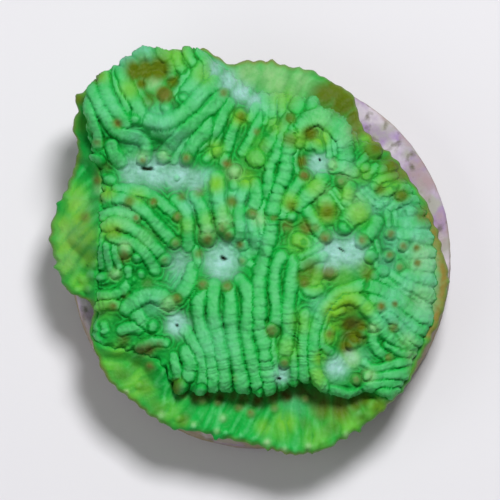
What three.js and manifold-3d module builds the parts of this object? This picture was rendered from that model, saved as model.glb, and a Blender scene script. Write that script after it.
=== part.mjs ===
// A chalice coral that has grown over a round frag disc, in millimetres, +Z up.
// The origin is the centre of the disc's underside, on the surface that it lies on.
//
// The colony is laid out on a plan: a sheet 50 mm square that looks down on it from the front,
// VIEW_ELEVATION degrees above the horizon. Plan x runs right from the left edge of the sheet and
// plan y runs down from its top edge. place() takes a plan point and its height above the disc's
// top face to the point of the coral that is seen there.
import * as THREE from "three";
import { mergeVertices } from "three/addons/utils/BufferGeometryUtils.js";
import Module from "manifold-3d";

const wasm = await Module();
wasm.setup();

// Driving sizes
const DISC_RADIUS = 19.1;
const DISC_HEIGHT = 6.0;
const VIEW_ELEVATION = 75;
const PLAN_CENTRE = [26.1, 25.4];

// Disc
const DISC_FOOT_RADIUS = 17.2;
const DISC_TAPER_HEIGHT = 1.4;
const DISC_EDGE_ROUND = 0.35;
const DISC_SIDES = 48;

// Colony
const LIP_THICKNESS = 2.1;
const MOUND_CENTRE = [25.5, 24];
const MOUND_FOOT = 0.3;
const FLARE_RISE = 0.3;
const RIM_ROUND = 1.3;
const BLEND_WIDTH = 1.35;

const SIN_VIEW = Math.sin(THREE.MathUtils.degToRad(VIEW_ELEVATION));
const COS_VIEW = Math.cos(THREE.MathUtils.degToRad(VIEW_ELEVATION));

function place(x, y, height) {
  const up = PLAN_CENTRE[1] - y;
  return new THREE.Vector3(x - PLAN_CENTRE[0], (up - height * COS_VIEW) / SIN_VIEW, DISC_HEIGHT + height);
}

// Surveyed heights: plan x, plan y and height above the disc's top face
const MOUND_SPOTS = [
  // upper left lobe, round its brown cup
  [12.5, 6.6, 8.4], [10.2, 9.0, 8.6], [10.8, 12.0, 9.0], [14.0, 11.6, 9.8], [17.0, 11.6, 9.8],
  [20.2, 9.6, 9.4], [20.0, 6.2, 8.6], [16.8, 5.2, 9.0], [14.6, 5.2, 9.0], [15.2, 7.8, 7.9],
  [14.0, 15.0, 7.6], [19.0, 15.4, 7.8], [21.6, 12.0, 8.2], [23.6, 11.0, 7.4], [9.4, 14.4, 6.8],
  // pale channel behind the lobe
  [22.4, 7.0, 6.4], [24.4, 9.0, 5.6], [25.8, 10.3, 5.4],
  // top mouth channel and the saddle
  [14.8, 17.2, 6.2], [18.0, 17.3, 6.4], [20.6, 17.8, 6.6], [22.8, 15.0, 6.8], [24.0, 16.6, 7.2],
  // left dome
  [11.6, 19.8, 7.6], [11.2, 23.0, 8.0], [14.0, 21.5, 7.8], [13.2, 24.6, 7.5], [16.4, 24.4, 6.5],
  [11.8, 26.8, 6.1], [10.0, 28.6, 4.8], [12.0, 29.8, 4.9], [10.0, 18.6, 5.2],
  // valley, first mouth, second mouth
  [18.0, 26.2, 5.2], [16.5, 28.0, 5.2], [22.2, 26.0, 5.6], [17.7, 32.3, 4.4],
  // ribs above the first mouth
  [19.2, 21.6, 6.6], [22.0, 21.2, 7.0], [24.4, 21.0, 7.3],
  // fan down to its lip
  [20.0, 29.6, 5.9], [23.0, 30.0, 6.3], [26.0, 30.0, 6.8], [29.0, 30.0, 6.7], [20.6, 34.6, 5.4],
  [23.4, 35.0, 5.7], [26.4, 35.0, 5.9], [29.8, 35.0, 5.8], [21.0, 38.0, 4.4], [25.0, 38.5, 4.5],
  [28.0, 37.6, 4.6], [30.2, 37.8, 4.6],
  // lower left
  [15.0, 30.0, 5.7], [14.5, 32.5, 5.0], [12.5, 33.0, 4.2], [10.4, 32.4, 3.3], [15.5, 34.3, 4.2],
  [19.0, 36.5, 4.5], [18.0, 38.3, 3.4], [12.6, 34.8, 2.8],
  // right lobe, its cup and its mouths
  [27.8, 16.8, 7.9], [29.4, 12.8, 8.4], [31.6, 11.8, 8.8], [34.0, 14.0, 8.4], [34.4, 17.0, 7.8],
  [31.2, 14.8, 7.3], [31.9, 16.6, 7.0], [29.2, 20.8, 7.5], [31.2, 19.8, 7.7], [33.0, 21.2, 7.0],
  [35.0, 20.0, 7.2], [32.0, 23.4, 7.2], [34.2, 25.3, 6.7], [36.2, 23.8, 6.8], [30.4, 24.6, 7.2],
  [30.2, 27.6, 6.9], [33.2, 27.6, 6.4], [36.0, 27.6, 5.8],
  // slopes on the right
  [37.6, 20.0, 5.2], [40.0, 20.0, 3.7], [41.6, 20.8, 2.6], [40.0, 24.2, 3.9], [42.6, 25.0, 2.3],
  [40.0, 28.2, 3.8], [43.0, 29.2, 2.4], [38.0, 17.0, 4.0], [35.8, 15.2, 5.4], [37.2, 15.2, 3.2],
  [34.6, 12.2, 4.2], [30.5, 10.2, 5.0], [27.6, 10.2, 5.2],
  // lower right cup
  [34.5, 30.0, 6.4], [37.0, 31.5, 6.0], [38.5, 33.5, 5.0], [31.5, 34.0, 6.0], [32.0, 37.4, 5.0],
  [40.2, 34.6, 3.9], [35.4, 33.8, 4.1], [33.6, 36.7, 4.2], [35.2, 38.7, 4.0], [37.5, 36.4, 4.2],
  [40.2, 36.6, 2.9], [38.6, 38.6, 2.7], [42.0, 33.0, 2.7], [41.4, 35.4, 2.3],
];

const SKIRT_SPOTS = [
  [25.0, 7.5, 1.7], [30.0, 8.5, 1.7], [34.0, 10.0, 1.6], [37.0, 15.0, 1.6], [41.0, 20.0, 1.5],
  [43.4, 25.0, 1.4], [43.8, 30.0, 1.4], [41.0, 36.0, 1.5], [37.0, 40.6, 1.6], [34.0, 42.0, 1.7],
  [30.0, 42.5, 1.7], [25.0, 42.5, 1.6], [20.0, 41.0, 1.7], [16.0, 39.5, 1.9], [13.0, 37.0, 2.0],
  [11.0, 35.0, 1.9], [9.6, 33.0, 1.8], [7.5, 28.0, 1.6], [6.0, 25.0, 1.7], [5.8, 22.5, 1.8],
  [7.9, 24.0, 2.7], [9.2, 20.0, 4.2], [7.0, 19.0, 2.3], [7.8, 16.0, 3.2], [9.2, 16.4, 4.4],
  [9.2, 23.0, 4.5], [9.1, 26.0, 4.1], [9.2, 28.8, 3.2], [7.8, 20.4, 2.8], [9.4, 13.4, 5.0],
  [8.0, 13.0, 4.6], [7.8, 10.0, 5.0], [10.0, 8.0, 5.0], [13.0, 7.0, 4.6], [17.0, 6.0, 4.2],
  [20.5, 5.2, 3.6], [23.0, 6.6, 2.4], [26.0, 25.0, 2.0],
];

// Height at a plan point: the surveyed heights, each weighed by how near it is
function surveyed(spots, x, y) {
  let total = 0;
  let weights = 0;
  for (const [spotX, spotY, height] of spots) {
    const distance2 = (x - spotX) ** 2 + (y - spotY) ** 2;
    const weight = Math.exp(-distance2 / (2 * BLEND_WIDTH ** 2)) + 1e-4 / (1 + distance2 ** 2);
    total += weight * height;
    weights += weight;
  }
  return total / weights;
}

const moundHeight = (x, y) => surveyed(MOUND_SPOTS, x, y);
const skirtHeight = (x, y) => surveyed(SKIRT_SPOTS, x, y);

// Outlines on the plan, each a smooth closed curve, clockwise from the top
const SKIRT_OUTLINE = [
  [20.4, 4.9], [21.8, 5.7], [23.2, 6.4], [24.5, 6.0], [27.2, 6.1], [29.0, 6.6], [31.0, 6.9], [32.5, 7.7],
  [34.0, 8.6], [35.2, 9.3], [35.7, 10.7], [36.2, 12.5], [37.2, 13.7], [38.3, 14.7], [39.5, 15.8],
  [40.4, 17.0], [41.6, 18.8], [42.7, 20.3], [43.3, 21.8], [43.9, 23.7], [44.3, 25.5], [44.8, 27.0],
  [44.8, 28.6], [44.5, 30.2], [44.1, 31.5], [43.6, 32.8], [42.8, 34.2], [42.1, 35.6], [41.6, 36.6],
  [41.1, 37.7], [40.2, 39.0], [39.2, 40.0], [38.0, 41.2], [36.6, 42.3], [35.2, 43.1], [33.8, 44.1],
  [32.5, 44.8], [31.0, 45.1], [29.6, 45.3], [28.4, 45.1], [26.8, 44.7], [25.0, 44.3], [23.6, 44.0],
  [22.2, 43.7], [20.8, 43.2], [19.0, 43.0], [17.5, 42.8], [16.0, 42.0], [14.8, 41.3], [13.8, 40.4],
  [12.8, 39.6], [11.5, 38.6], [10.6, 37.5], [10.0, 36.2], [9.6, 35.0], [9.2, 34.0], [9.0, 33.0],
  [9.3, 31.8], [9.3, 30.6], [8.6, 29.9], [7.4, 29.5], [6.6, 28.8], [6.1, 27.8], [5.7, 26.4],
  [5.3, 25.2], [5.0, 23.8], [5.2, 22.2], [5.7, 21.0], [6.1, 20.0], [6.6, 19.0], [6.9, 18.0],
  [7.3, 17.2], [7.6, 16.2], [7.8, 15.2], [7.7, 14.0], [7.3, 13.0], [7.4, 12.0], [7.8, 11.2],
  [7.6, 10.2], [7.7, 9.5], [8.6, 9.1], [9.8, 8.2], [11.4, 7.0], [13.0, 6.0], [15.0, 5.4], [17.6, 4.9],
];

const MOUND_OUTLINE = [
  [19.4, 4.7], [20.6, 5.4], [21.8, 6.3], [23.6, 7.6], [25.4, 8.9], [27.4, 9.2], [30.4, 9.7], [33.0, 11.2],
  [35.4, 13.2], [37.6, 15.0], [39.8, 17.4], [41.8, 19.8], [43.0, 22.2], [43.6, 25.0], [43.7, 28.0],
  [43.4, 31.0], [42.6, 33.4], [41.5, 35.6], [40.8, 37.2], [39.6, 39.2], [38.4, 39.6], [37.3, 39.2],
  [36.2, 39.2], [34.5, 39.5], [32.4, 39.1], [30.8, 38.2], [29.0, 38.8], [26.4, 39.3], [24.0, 39.0],
  [22.0, 38.9], [20.2, 39.0], [18.0, 38.9], [16.9, 37.8], [15.4, 36.0], [13.2, 35.2], [10.6, 34.8],
  [9.4, 33.4], [9.6, 31.6], [9.3, 30.0], [9.0, 28.0], [9.3, 25.6], [9.7, 22.6], [9.8, 19.8],
  [9.7, 17.6], [9.3, 15.4], [8.7, 13.2], [8.5, 11.0], [8.8, 9.4], [9.8, 8.0], [11.0, 6.9],
  [12.3, 6.0], [13.6, 5.3], [15.2, 4.8], [16.6, 5.1], [18.0, 4.9],
];

// A ball of rows and columns is pressed into a cushion that fills an outline. Its upper rows take the
// top surface, out to the outline. Its lower rows take the underside, each at its share of the way
// from the centre to the outline.
function cushion({ outline, centre, columns, topRows, underShares, top, under }) {
  const curve = new THREE.CatmullRomCurve3(outline.map(([x, y]) => new THREE.Vector3(x, y, 0)), true);
  const rim = curve.getSpacedPoints(columns).reverse();
  const ball = new THREE.SphereGeometry(1, columns, topRows + underShares.length);
  const spot = ball.getAttribute("position");
  for (let i = 0; i < spot.count; i++) {
    const row = Math.floor(i / (columns + 1));
    const edge = rim[(i % (columns + 1)) % columns];
    const onTop = row <= topRows;
    const share = onTop ? (row / topRows) ** 0.8 : underShares[row - topRows - 1];
    const x = THREE.MathUtils.lerp(centre[0], edge.x, share);
    const y = THREE.MathUtils.lerp(centre[1], edge.y, share);
    const inset = (1 - share) * Math.hypot(edge.x - centre[0], edge.y - centre[1]);
    const p = place(x, y, onTop ? top(x, y, inset) : under(x, y, share));
    spot.setXYZ(i, p.x, p.y, p.z);
  }
  return ball;
}

// A closed three.js geometry as a solid
function solid(geometry) {
  const bare = geometry.clone();
  bare.deleteAttribute("normal");
  bare.deleteAttribute("uv");
  const merged = mergeVertices(bare, 1e-4);
  return new wasm.Manifold(
    new wasm.Mesh({
      numProp: 3,
      vertProperties: merged.getAttribute("position").array,
      triVerts: new Uint32Array(merged.index.array),
    }),
  );
}

// How far a rounded rim has dropped at a distance in from the outline
function rimDrop(inset, radius) {
  const short = Math.max(0, radius - inset);
  return radius - Math.sqrt(Math.max(0, radius ** 2 - short ** 2));
}

// The thin skirt that crusts the disc and flares past its edge on the left, a little off the level
function skirt() {
  const overhang = (x, y) => Math.max(0, Math.hypot(x - PLAN_CENTRE[0], y - PLAN_CENTRE[1]) - DISC_RADIUS);
  return solid(
    cushion({
      outline: SKIRT_OUTLINE,
      centre: [25, 25],
      columns: 47,
      topRows: 4,
      underShares: [0.98, 0.85, 0],
      top: (x, y, inset) => Math.max(0.6, skirtHeight(x, y) - rimDrop(inset, 0.8)),
      under: (x, y) => FLARE_RISE * overhang(x, y),
    }),
  );
}

// The thick mound that stands on the skirt, with an undercut lip round its front
function mound() {
  const lip = (x, y) => Math.max(0.3, moundHeight(x, y) - LIP_THICKNESS);
  return solid(
    cushion({
      outline: MOUND_OUTLINE,
      centre: MOUND_CENTRE,
      columns: 40,
      topRows: 8,
      underShares: [0.97, 0.85, 0],
      top: (x, y, inset) => Math.max(0.5, moundHeight(x, y) - rimDrop(inset, RIM_ROUND)),
      under: (x, y, share) => (share > 0.9 ? lip(x, y) : MOUND_FOOT),
    }),
  );
}

// A rib stands on the mound. It starts as a ball of rows that run along it. Each row is carried to
// its own station on the rib's curve and keeps one size, so that only the two ends are pointed, and
// the lower corners reach down into the mound. A rib is given as its width and its plan points.
const RIB_SIDES = 5;
const RIB_STEP = 3.4;
const RIB_RISE = 0.12;
const RIB_ROOT = 1.3;
const RIB_SPREAD = 1.65;

function rib(width, ...points) {
  const flat = new THREE.CatmullRomCurve3(points.map(([x, y]) => new THREE.Vector3(x, y, 0)));
  const rows = Math.max(2, Math.round(flat.getLength() / RIB_STEP)) + 2;
  const ball = new THREE.SphereGeometry(width / 2, RIB_SIDES, rows, Math.PI / 2);
  const spot = ball.getAttribute("position");
  const up = new THREE.Vector3(0, 0, 1);
  for (let i = 0; i < spot.count; i++) {
    const row = Math.floor(i / (RIB_SIDES + 1));
    const atEnd = row === 0 || row === rows;
    const inner = THREE.MathUtils.clamp((row - 0.75) / (rows - 1.5), 0, 1);
    const along = atEnd ? row / rows : THREE.MathUtils.lerp(0.06, 0.94, inner);
    const { x, y } = flat.getPointAt(along);
    const here = place(x, y, moundHeight(x, y) + RIB_RISE);
    const heading = flat.getTangentAt(along).setY(-flat.getTangentAt(along).y);
    const side = new THREE.Vector3().crossVectors(up, heading).normalize();
    const ring = atEnd ? 0 : width / 2 / Math.hypot(spot.getX(i), spot.getZ(i));
    const across = spot.getX(i) * ring;
    const rise = spot.getZ(i) * ring;
    here.addScaledVector(side, rise < 0 ? across * RIB_SPREAD : across);
    here.z += rise < 0 ? rise - RIB_ROOT : rise;
    spot.setXYZ(i, here.x, here.y, here.z);
  }
  return solid(ball);
}

const FAN_RIBS = [
  [1.5, [18.7, 35.0], [19.1, 36.2], [18.9, 37.3]],
  [1.2, [18.6, 33.0], [19.2, 34.0], [19.8, 35.2], [20.3, 36.6], [20.4, 38.0]],
  [1.3, [20.3, 28.9], [19.8, 30.5], [19.9, 32.0], [20.5, 33.8], [21.0, 35.2], [21.2, 36.8], [21.6, 38.6]],
  [1.4, [21.4, 28.8], [21.3, 30.5], [21.4, 32.0], [21.8, 33.5], [22.1, 35.0], [22.3, 36.4], [22.6, 38.2]],
  [1.45, [22.8, 28.8], [23.1, 30.0], [23.1, 32.0], [23.3, 33.8], [23.6, 35.2], [23.9, 36.8], [24.3, 38.4]],
  [1.35, [24.0, 27.9], [24.7, 29.0], [24.8, 30.5], [24.7, 33.5], [25.0, 35.0], [25.3, 36.5], [25.9, 38.7]],
  [1.2, [26.0, 27.2], [25.9, 28.5], [25.9, 31.5], [25.9, 32.8], [26.3, 34.0], [26.5, 35.2], [26.8, 38.3]],
  [1.2, [27.9, 26.0], [27.4, 28.0], [27.5, 29.5], [27.6, 31.0], [27.2, 32.9]],
  [1.4, [29.4, 26.0], [29.1, 28.0], [28.8, 30.4], [28.8, 33.0], [28.6, 34.5], [28.4, 36.0]],
  [0.9, [29.3, 34.6], [29.3, 36.4], [29.4, 38.2]],
  [1.1, [30.5, 31.4], [30.4, 32.8], [30.3, 34.2], [30.3, 37.4]],
];

const LOWER_LEFT_RIBS = [
  [1.6, [12.8, 30.8], [14.0, 29.7], [15.2, 29.4], [16.9, 30.2]],
  [1.4, [13.7, 31.3], [14.4, 32.1], [15.2, 32.5]],
  [1.3, [12.2, 33.0], [13.9, 32.7]],
  [1.1, [14.2, 34.6], [15.4, 34.2], [16.6, 34.2]],
  [0.8, [17.4, 35.5], [17.9, 37.4]],
  [1.1, [9.8, 32.0], [9.9, 33.2], [10.3, 34.2]],
  [1.0, [9.9, 30.4], [11.8, 30.6]],
  [1.0, [10.0, 29.4], [11.2, 29.5], [12.4, 29.0], [13.1, 28.0]],
  [1.4, [19.3, 26.8], [18.9, 28.0], [18.3, 29.0], [17.8, 29.9]],
];

const DOME_RIBS = [
  [1.1, [11.8, 18.9], [13.5, 19.0], [15.0, 19.4], [16.2, 20.3], [17.8, 21.7]],
  [1.2, [11.0, 19.8], [12.4, 19.8], [13.8, 20.5], [14.8, 21.4], [15.7, 22.4], [17.4, 24.3]],
  [0.9, [10.2, 22.6], [10.7, 21.6], [11.5, 21.2], [12.6, 21.4], [13.7, 21.8]],
  [1.3, [11.0, 22.7], [11.8, 22.2], [12.8, 22.6], [14.8, 24.0], [16.5, 25.9]],
  [1.3, [11.3, 23.8], [12.8, 24.1], [14.1, 24.8], [15.0, 25.9], [15.6, 27.0]],
  [1.2, [17.6, 20.0], [18.4, 20.8], [18.8, 22.0], [18.9, 24.6]],
];

const LOBE_RIBS = [
  [0.8, [9.0, 10.0], [9.1, 11.2], [9.5, 12.4], [9.9, 14.6]],
  [1.1, [9.5, 8.6], [9.6, 9.6], [10.1, 10.8], [11.5, 13.1], [12.7, 13.6], [13.9, 13.8], [14.6, 14.6], [14.5, 15.7]],
  [1.3, [10.6, 7.8], [10.7, 9.2], [11.2, 10.4], [12.6, 12.3]],
  [1.5, [12.5, 7.5], [12.8, 8.8], [13.5, 10.0], [14.1, 11.1], [13.8, 11.9]],
  [1.5, [15.0, 11.9], [16.3, 12.3], [17.6, 11.9], [18.8, 11.0], [19.7, 10.0], [21.5, 8.4]],
  [1.3, [16.4, 15.6], [17.0, 14.7], [17.8, 13.8], [20.1, 11.8], [21.9, 10.0], [22.3, 9.4]],
  [1.4, [18.7, 15.8], [19.2, 14.7], [20.0, 13.8], [20.7, 13.0], [20.6, 12.0]],
  [1.3, [23.3, 10.3], [22.9, 11.5], [21.9, 14.2]],
  [1.3, [24.1, 11.2], [23.9, 12.8]],
  [1.3, [18.0, 9.4], [18.7, 8.4], [19.5, 7.5], [19.9, 6.5]],
  [1.1, [11.0, 15.2], [11.9, 16.9]],
  [0.9, [17.2, 6.0], [17.8, 7.2]],
];

const MIDDLE_RIBS = [
  [1.4, [19.5, 19.8], [20.1, 20.8], [20.5, 22.0], [20.8, 23.9]],
  [1.4, [21.7, 18.3], [21.8, 19.8], [22.1, 21.2], [22.4, 22.8]],
  [1.1, [24.7, 18.6], [24.2, 20.0], [24.0, 21.4], [24.2, 23.8]],
  [1.2, [25.6, 18.7], [25.3, 20.0], [25.0, 21.2]],
  [1.2, [25.2, 22.6], [25.6, 25.4]],
  [1.1, [28.3, 12.8], [27.6, 15.5], [26.9, 17.4], [26.6, 19.4], [26.4, 20.8]],
  [1.4, [29.9, 12.2], [29.2, 13.5], [28.7, 15.8], [28.4, 17.8], [27.6, 19.8], [27.1, 22.0], [27.0, 23.3], [26.2, 26.8]],
];

const RIGHT_LOBE_RIBS = [
  [1.2, [29.6, 12.8], [30.3, 11.9], [31.4, 11.6], [32.6, 12.2], [33.7, 13.1], [34.2, 14.3], [34.3, 15.5]],
  [1.2, [30.4, 17.6], [29.2, 18.9]],
  [1.3, [29.1, 19.0], [28.8, 20.3], [28.4, 21.3]],
  [1.5, [32.1, 18.4], [31.3, 19.0], [30.4, 19.8], [29.8, 20.6]],
  [1.3, [30.6, 21.2], [31.2, 22.2], [32.5, 23.7]],
  [1.6, [29.6, 24.0], [30.8, 24.2]],
  [1.0, [29.8, 25.9], [31.0, 25.2], [31.9, 24.7]],
  [1.3, [31.8, 27.0], [31.5, 28.3]],
  [1.2, [33.4, 16.6], [34.5, 16.8], [35.5, 17.4]],
  [1.7, [34.4, 22.6], [35.2, 21.7], [36.3, 21.0]],
  [1.5, [36.2, 24.0], [37.2, 23.4]],
];

const CUP_RIBS = [
  [1.1, [32.2, 30.2], [31.5, 31.4], [31.2, 33.0], [31.3, 35.0], [31.6, 37.0], [32.4, 38.6]],
  [1.2, [32.1, 34.4], [32.3, 32.6], [32.8, 31.2], [33.6, 30.2], [34.6, 29.8], [35.6, 29.9], [37.0, 31.2],
    [38.3, 32.9], [39.1, 33.8], [41.2, 35.0]],
  [1.0, [37.3, 32.9], [37.9, 34.0], [38.8, 34.8], [41.2, 35.8]],
  [1.0, [37.0, 35.5], [38.0, 36.1], [41.0, 36.5]],
  [1.0, [37.1, 37.2], [38.5, 37.3], [41.0, 37.1]],
  [1.1, [37.9, 39.2], [39.8, 38.9]],
  [1.3, [36.0, 28.0], [34.6, 28.9], [32.3, 30.8]],
];

const RIGHT_SLOPE_RIBS = [
  [1.3, [36.8, 29.0], [38.2, 29.4], [39.4, 30.1], [41.0, 31.7]],
  [1.5, [38.8, 28.6], [40.0, 29.4], [41.0, 30.3], [42.8, 31.6]],
  [1.2, [38.5, 30.8], [39.5, 31.5], [42.0, 34.0]],
  [1.3, [39.2, 27.4], [40.6, 28.6], [43.0, 29.4]],
];

// Low ribs that run out to the rim on the right, all from one point on the plan
const SPOKE_CENTRE = [33.5, 23.0];
const SPOKE_WIDTH = 1.1;
const SPOKES = { first: -34, step: 9.5, count: 6, inner: 4.6, outer: 9.4 };

function spoke(index) {
  const turn = THREE.MathUtils.degToRad(SPOKES.first + SPOKES.step * index);
  const at = (reach) => [SPOKE_CENTRE[0] + reach * Math.cos(turn), SPOKE_CENTRE[1] + reach * Math.sin(turn)];
  return [SPOKE_WIDTH, at(SPOKES.inner), at((SPOKES.inner + SPOKES.outer) / 2), at(SPOKES.outer)];
}

// Knobs at rib ends and between ribs: plan x, plan y and radius
const KNOBS = [
  [20.8, 23.9, 0.8], [22.8, 23.7, 0.75], [25.2, 21.4, 0.65], [24.3, 24.6, 0.65], [24.2, 26.0, 0.6],
  [17.8, 21.7, 0.6], [17.5, 24.3, 0.65], [16.5, 25.9, 0.7], [16.9, 30.3, 0.75], [15.3, 32.6, 0.8],
  [20.3, 28.4, 0.7], [22.6, 28.7, 0.7], [27.2, 32.9, 0.85], [28.4, 36.1, 0.7], [30.5, 17.6, 0.7],
  [32.6, 23.8, 0.8], [34.4, 22.6, 0.95], [36.1, 24.1, 0.8], [30.4, 28.4, 0.6], [34.8, 19.2, 0.9],
  [14.4, 15.8, 0.65], [16.4, 15.7, 0.8], [18.7, 15.9, 0.8], [15.5, 8.6, 0.9], [24.0, 11.5, 0.7],
  [12.5, 25.0, 0.7], [32.8, 21.2, 1.0], [33.0, 27.2, 0.8], [35.2, 34.3, 0.9], [32.9, 33.6, 0.6],
];

// Knobs on the low skirt
const SKIRT_KNOBS = [
  [37.3, 14.9, 0.9], [38.9, 16.8, 0.8], [9.9, 16.3, 0.8], [18.2, 38.5, 0.9], [20.3, 40.0, 0.6],
  [23.9, 40.7, 0.55], [25.1, 41.2, 0.6], [37.1, 39.9, 0.8], [35.7, 41.0, 0.8],
];

function knob([x, y, radius], height) {
  const ball = new THREE.SphereGeometry(radius, 6, 3);
  ball.rotateX(Math.PI / 2);
  const { x: atX, y: atY, z: atZ } = place(x, y, height(x, y) + 0.3 * radius);
  ball.translate(atX, atY, atZ);
  return solid(ball);
}

// Pointed teeth that stand out from the skirt's rim: plan x and y of the root, then of the tip
const TEETH = [
  [[19.6, 5.6], [19.1, 4.2]], [[20.6, 5.8], [20.4, 4.5]], [[22.0, 6.4], [22.0, 5.3]], [[25.4, 6.6], [25.4, 5.4]],
  [[8.8, 9.9], [7.5, 9.3]], [[8.2, 15.0], [6.7, 15.0]], [[7.4, 17.9], [6.2, 17.7]],
  [[5.8, 24.6], [4.8, 24.9]], [[28.4, 44.5], [28.4, 45.5]], [[29.5, 44.8], [29.6, 45.7]],
  [[34.7, 42.6], [34.8, 43.8]],
];
const TOOTH_RADIUS = 0.5;

function tooth([root, tip]) {
  const from = place(...root, skirtHeight(...root) - 0.8);
  const to = place(...tip, skirtHeight(...tip) - 0.6);
  const reach = new THREE.Vector3().subVectors(to, from);
  const cone = new THREE.ConeGeometry(TOOTH_RADIUS, reach.length(), 4);
  cone.translate(0, reach.length() / 2, 0);
  cone.applyQuaternion(new THREE.Quaternion().setFromUnitVectors(new THREE.Vector3(0, 1, 0), reach.normalize()));
  cone.translate(from.x, from.y, from.z);
  return solid(cone);
}

// Mouths are shallow pits: plan x, plan y and radius
const MOUTHS = [
  [14.8, 16.9, 0.55], [22.4, 25.8, 0.5], [17.7, 32.5, 0.4], [34.0, 25.0, 0.5], [31.9, 16.0, 0.4],
  [27.9, 37.8, 0.35],
];

function mouth([x, y, radius]) {
  const pit = new THREE.SphereGeometry(radius, 6, 4);
  const { x: atX, y: atY, z: atZ } = place(x, y, moundHeight(x, y) + 0.2 * radius);
  pit.translate(atX, atY, atZ);
  return solid(pit);
}

function meshOf(manifold) {
  const { vertProperties, triVerts } = manifold.getMesh();
  const geometry = new THREE.BufferGeometry();
  geometry.setAttribute("position", new THREE.BufferAttribute(vertProperties, 3));
  geometry.setIndex(new THREE.BufferAttribute(triVerts, 1));
  geometry.computeVertexNormals();
  return geometry;
}

function coralColony() {
  const ribs = [
    ...FAN_RIBS, ...LOWER_LEFT_RIBS, ...DOME_RIBS, ...LOBE_RIBS, ...MIDDLE_RIBS, ...RIGHT_LOBE_RIBS,
    ...CUP_RIBS, ...RIGHT_SLOPE_RIBS, ...Array.from({ length: SPOKES.count }, (_, i) => spoke(i)),
  ].map((one) => rib(...one));
  const bumps = [
    ...KNOBS.map((one) => knob(one, moundHeight)),
    ...SKIRT_KNOBS.map((one) => knob(one, skirtHeight)),
    ...TEETH.map(tooth),
  ];
  const grown = wasm.Manifold.union([skirt(), mound(), ...ribs, ...bumps]);
  const colony = grown.subtract(wasm.Manifold.union(MOUTHS.map(mouth)));
  const flesh = new THREE.MeshStandardMaterial({ color: 0x35b45c, roughness: 0.5, metalness: 0 });
  const mesh = new THREE.Mesh(meshOf(colony), flesh);
  mesh.name = "coral_colony";
  return mesh;
}

// The disc that the colony grew over: cast ceramic, with a tapered foot
function fragDisc() {
  const top = DISC_HEIGHT;
  const profile = [
    [0, 0], [DISC_FOOT_RADIUS, 0], [DISC_RADIUS, DISC_TAPER_HEIGHT],
    [DISC_RADIUS, top - DISC_EDGE_ROUND], [DISC_RADIUS - DISC_EDGE_ROUND, top], [0, top],
  ].map(([radius, height]) => new THREE.Vector2(radius, height));
  const turned = new THREE.LatheGeometry(profile, DISC_SIDES);
  turned.rotateX(Math.PI / 2);
  const ceramic = new THREE.MeshStandardMaterial({ color: 0xb3a6ac, roughness: 0.85, metalness: 0 });
  const mesh = new THREE.Mesh(turned, ceramic);
  mesh.name = "frag_disc";
  return mesh;
}

const coral = new THREE.Group();
coral.name = "chalice_coral";
coral.add(fragDisc(), coralColony());

export default coral;
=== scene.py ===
import math

import bpy
import numpy as np
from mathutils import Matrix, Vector


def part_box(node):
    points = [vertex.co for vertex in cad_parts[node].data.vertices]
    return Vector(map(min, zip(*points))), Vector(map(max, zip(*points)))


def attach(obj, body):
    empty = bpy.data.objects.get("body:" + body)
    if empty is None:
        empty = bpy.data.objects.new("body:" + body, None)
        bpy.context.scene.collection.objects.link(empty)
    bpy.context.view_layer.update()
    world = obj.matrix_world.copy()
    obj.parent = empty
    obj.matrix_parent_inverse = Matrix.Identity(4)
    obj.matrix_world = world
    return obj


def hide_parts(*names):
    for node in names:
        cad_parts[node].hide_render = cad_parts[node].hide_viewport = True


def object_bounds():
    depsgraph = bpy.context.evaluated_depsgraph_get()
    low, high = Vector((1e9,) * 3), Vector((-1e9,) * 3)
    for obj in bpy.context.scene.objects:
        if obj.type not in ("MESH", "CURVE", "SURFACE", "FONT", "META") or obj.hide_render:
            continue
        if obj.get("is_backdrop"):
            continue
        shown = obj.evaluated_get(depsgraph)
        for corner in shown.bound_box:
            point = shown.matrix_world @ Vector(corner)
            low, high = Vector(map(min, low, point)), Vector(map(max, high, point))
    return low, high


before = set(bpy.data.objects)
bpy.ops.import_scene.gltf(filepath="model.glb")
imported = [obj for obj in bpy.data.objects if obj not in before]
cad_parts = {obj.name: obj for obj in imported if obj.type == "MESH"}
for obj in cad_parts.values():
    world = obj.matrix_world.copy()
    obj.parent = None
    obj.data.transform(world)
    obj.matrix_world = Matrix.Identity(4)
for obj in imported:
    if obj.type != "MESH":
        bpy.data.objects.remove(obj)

cad_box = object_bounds()
bpy.ops.object.select_all(action="DESELECT")

# The chalice coral colony: a crust of stony skeleton under thin green flesh. A low skirt covers the
# disc, and on it grows a thick mound of ribs, knobs and mouths, whose lip hangs over the skirt.
# Both are pressed out of sheets, in millimetres, from a plan seen from above the front, then welded.
MM = 0.001
VIEW_ELEVATION = math.radians(75)
PLAN_CENTRE = (26.1, 25.4)
DISC_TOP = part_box("frag_disc")[1][2] / MM
DISC_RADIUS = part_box("frag_disc")[1][0] / MM


def place(x, y, height):
    """The point of the coral that the plan shows at x, y, at a height above the disc's top."""
    up = PLAN_CENTRE[1] - y
    across = x - PLAN_CENTRE[0]
    away = (up - height * math.cos(VIEW_ELEVATION)) / math.sin(VIEW_ELEVATION)
    return np.stack([across, away, DISC_TOP + height], axis=-1)


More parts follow.
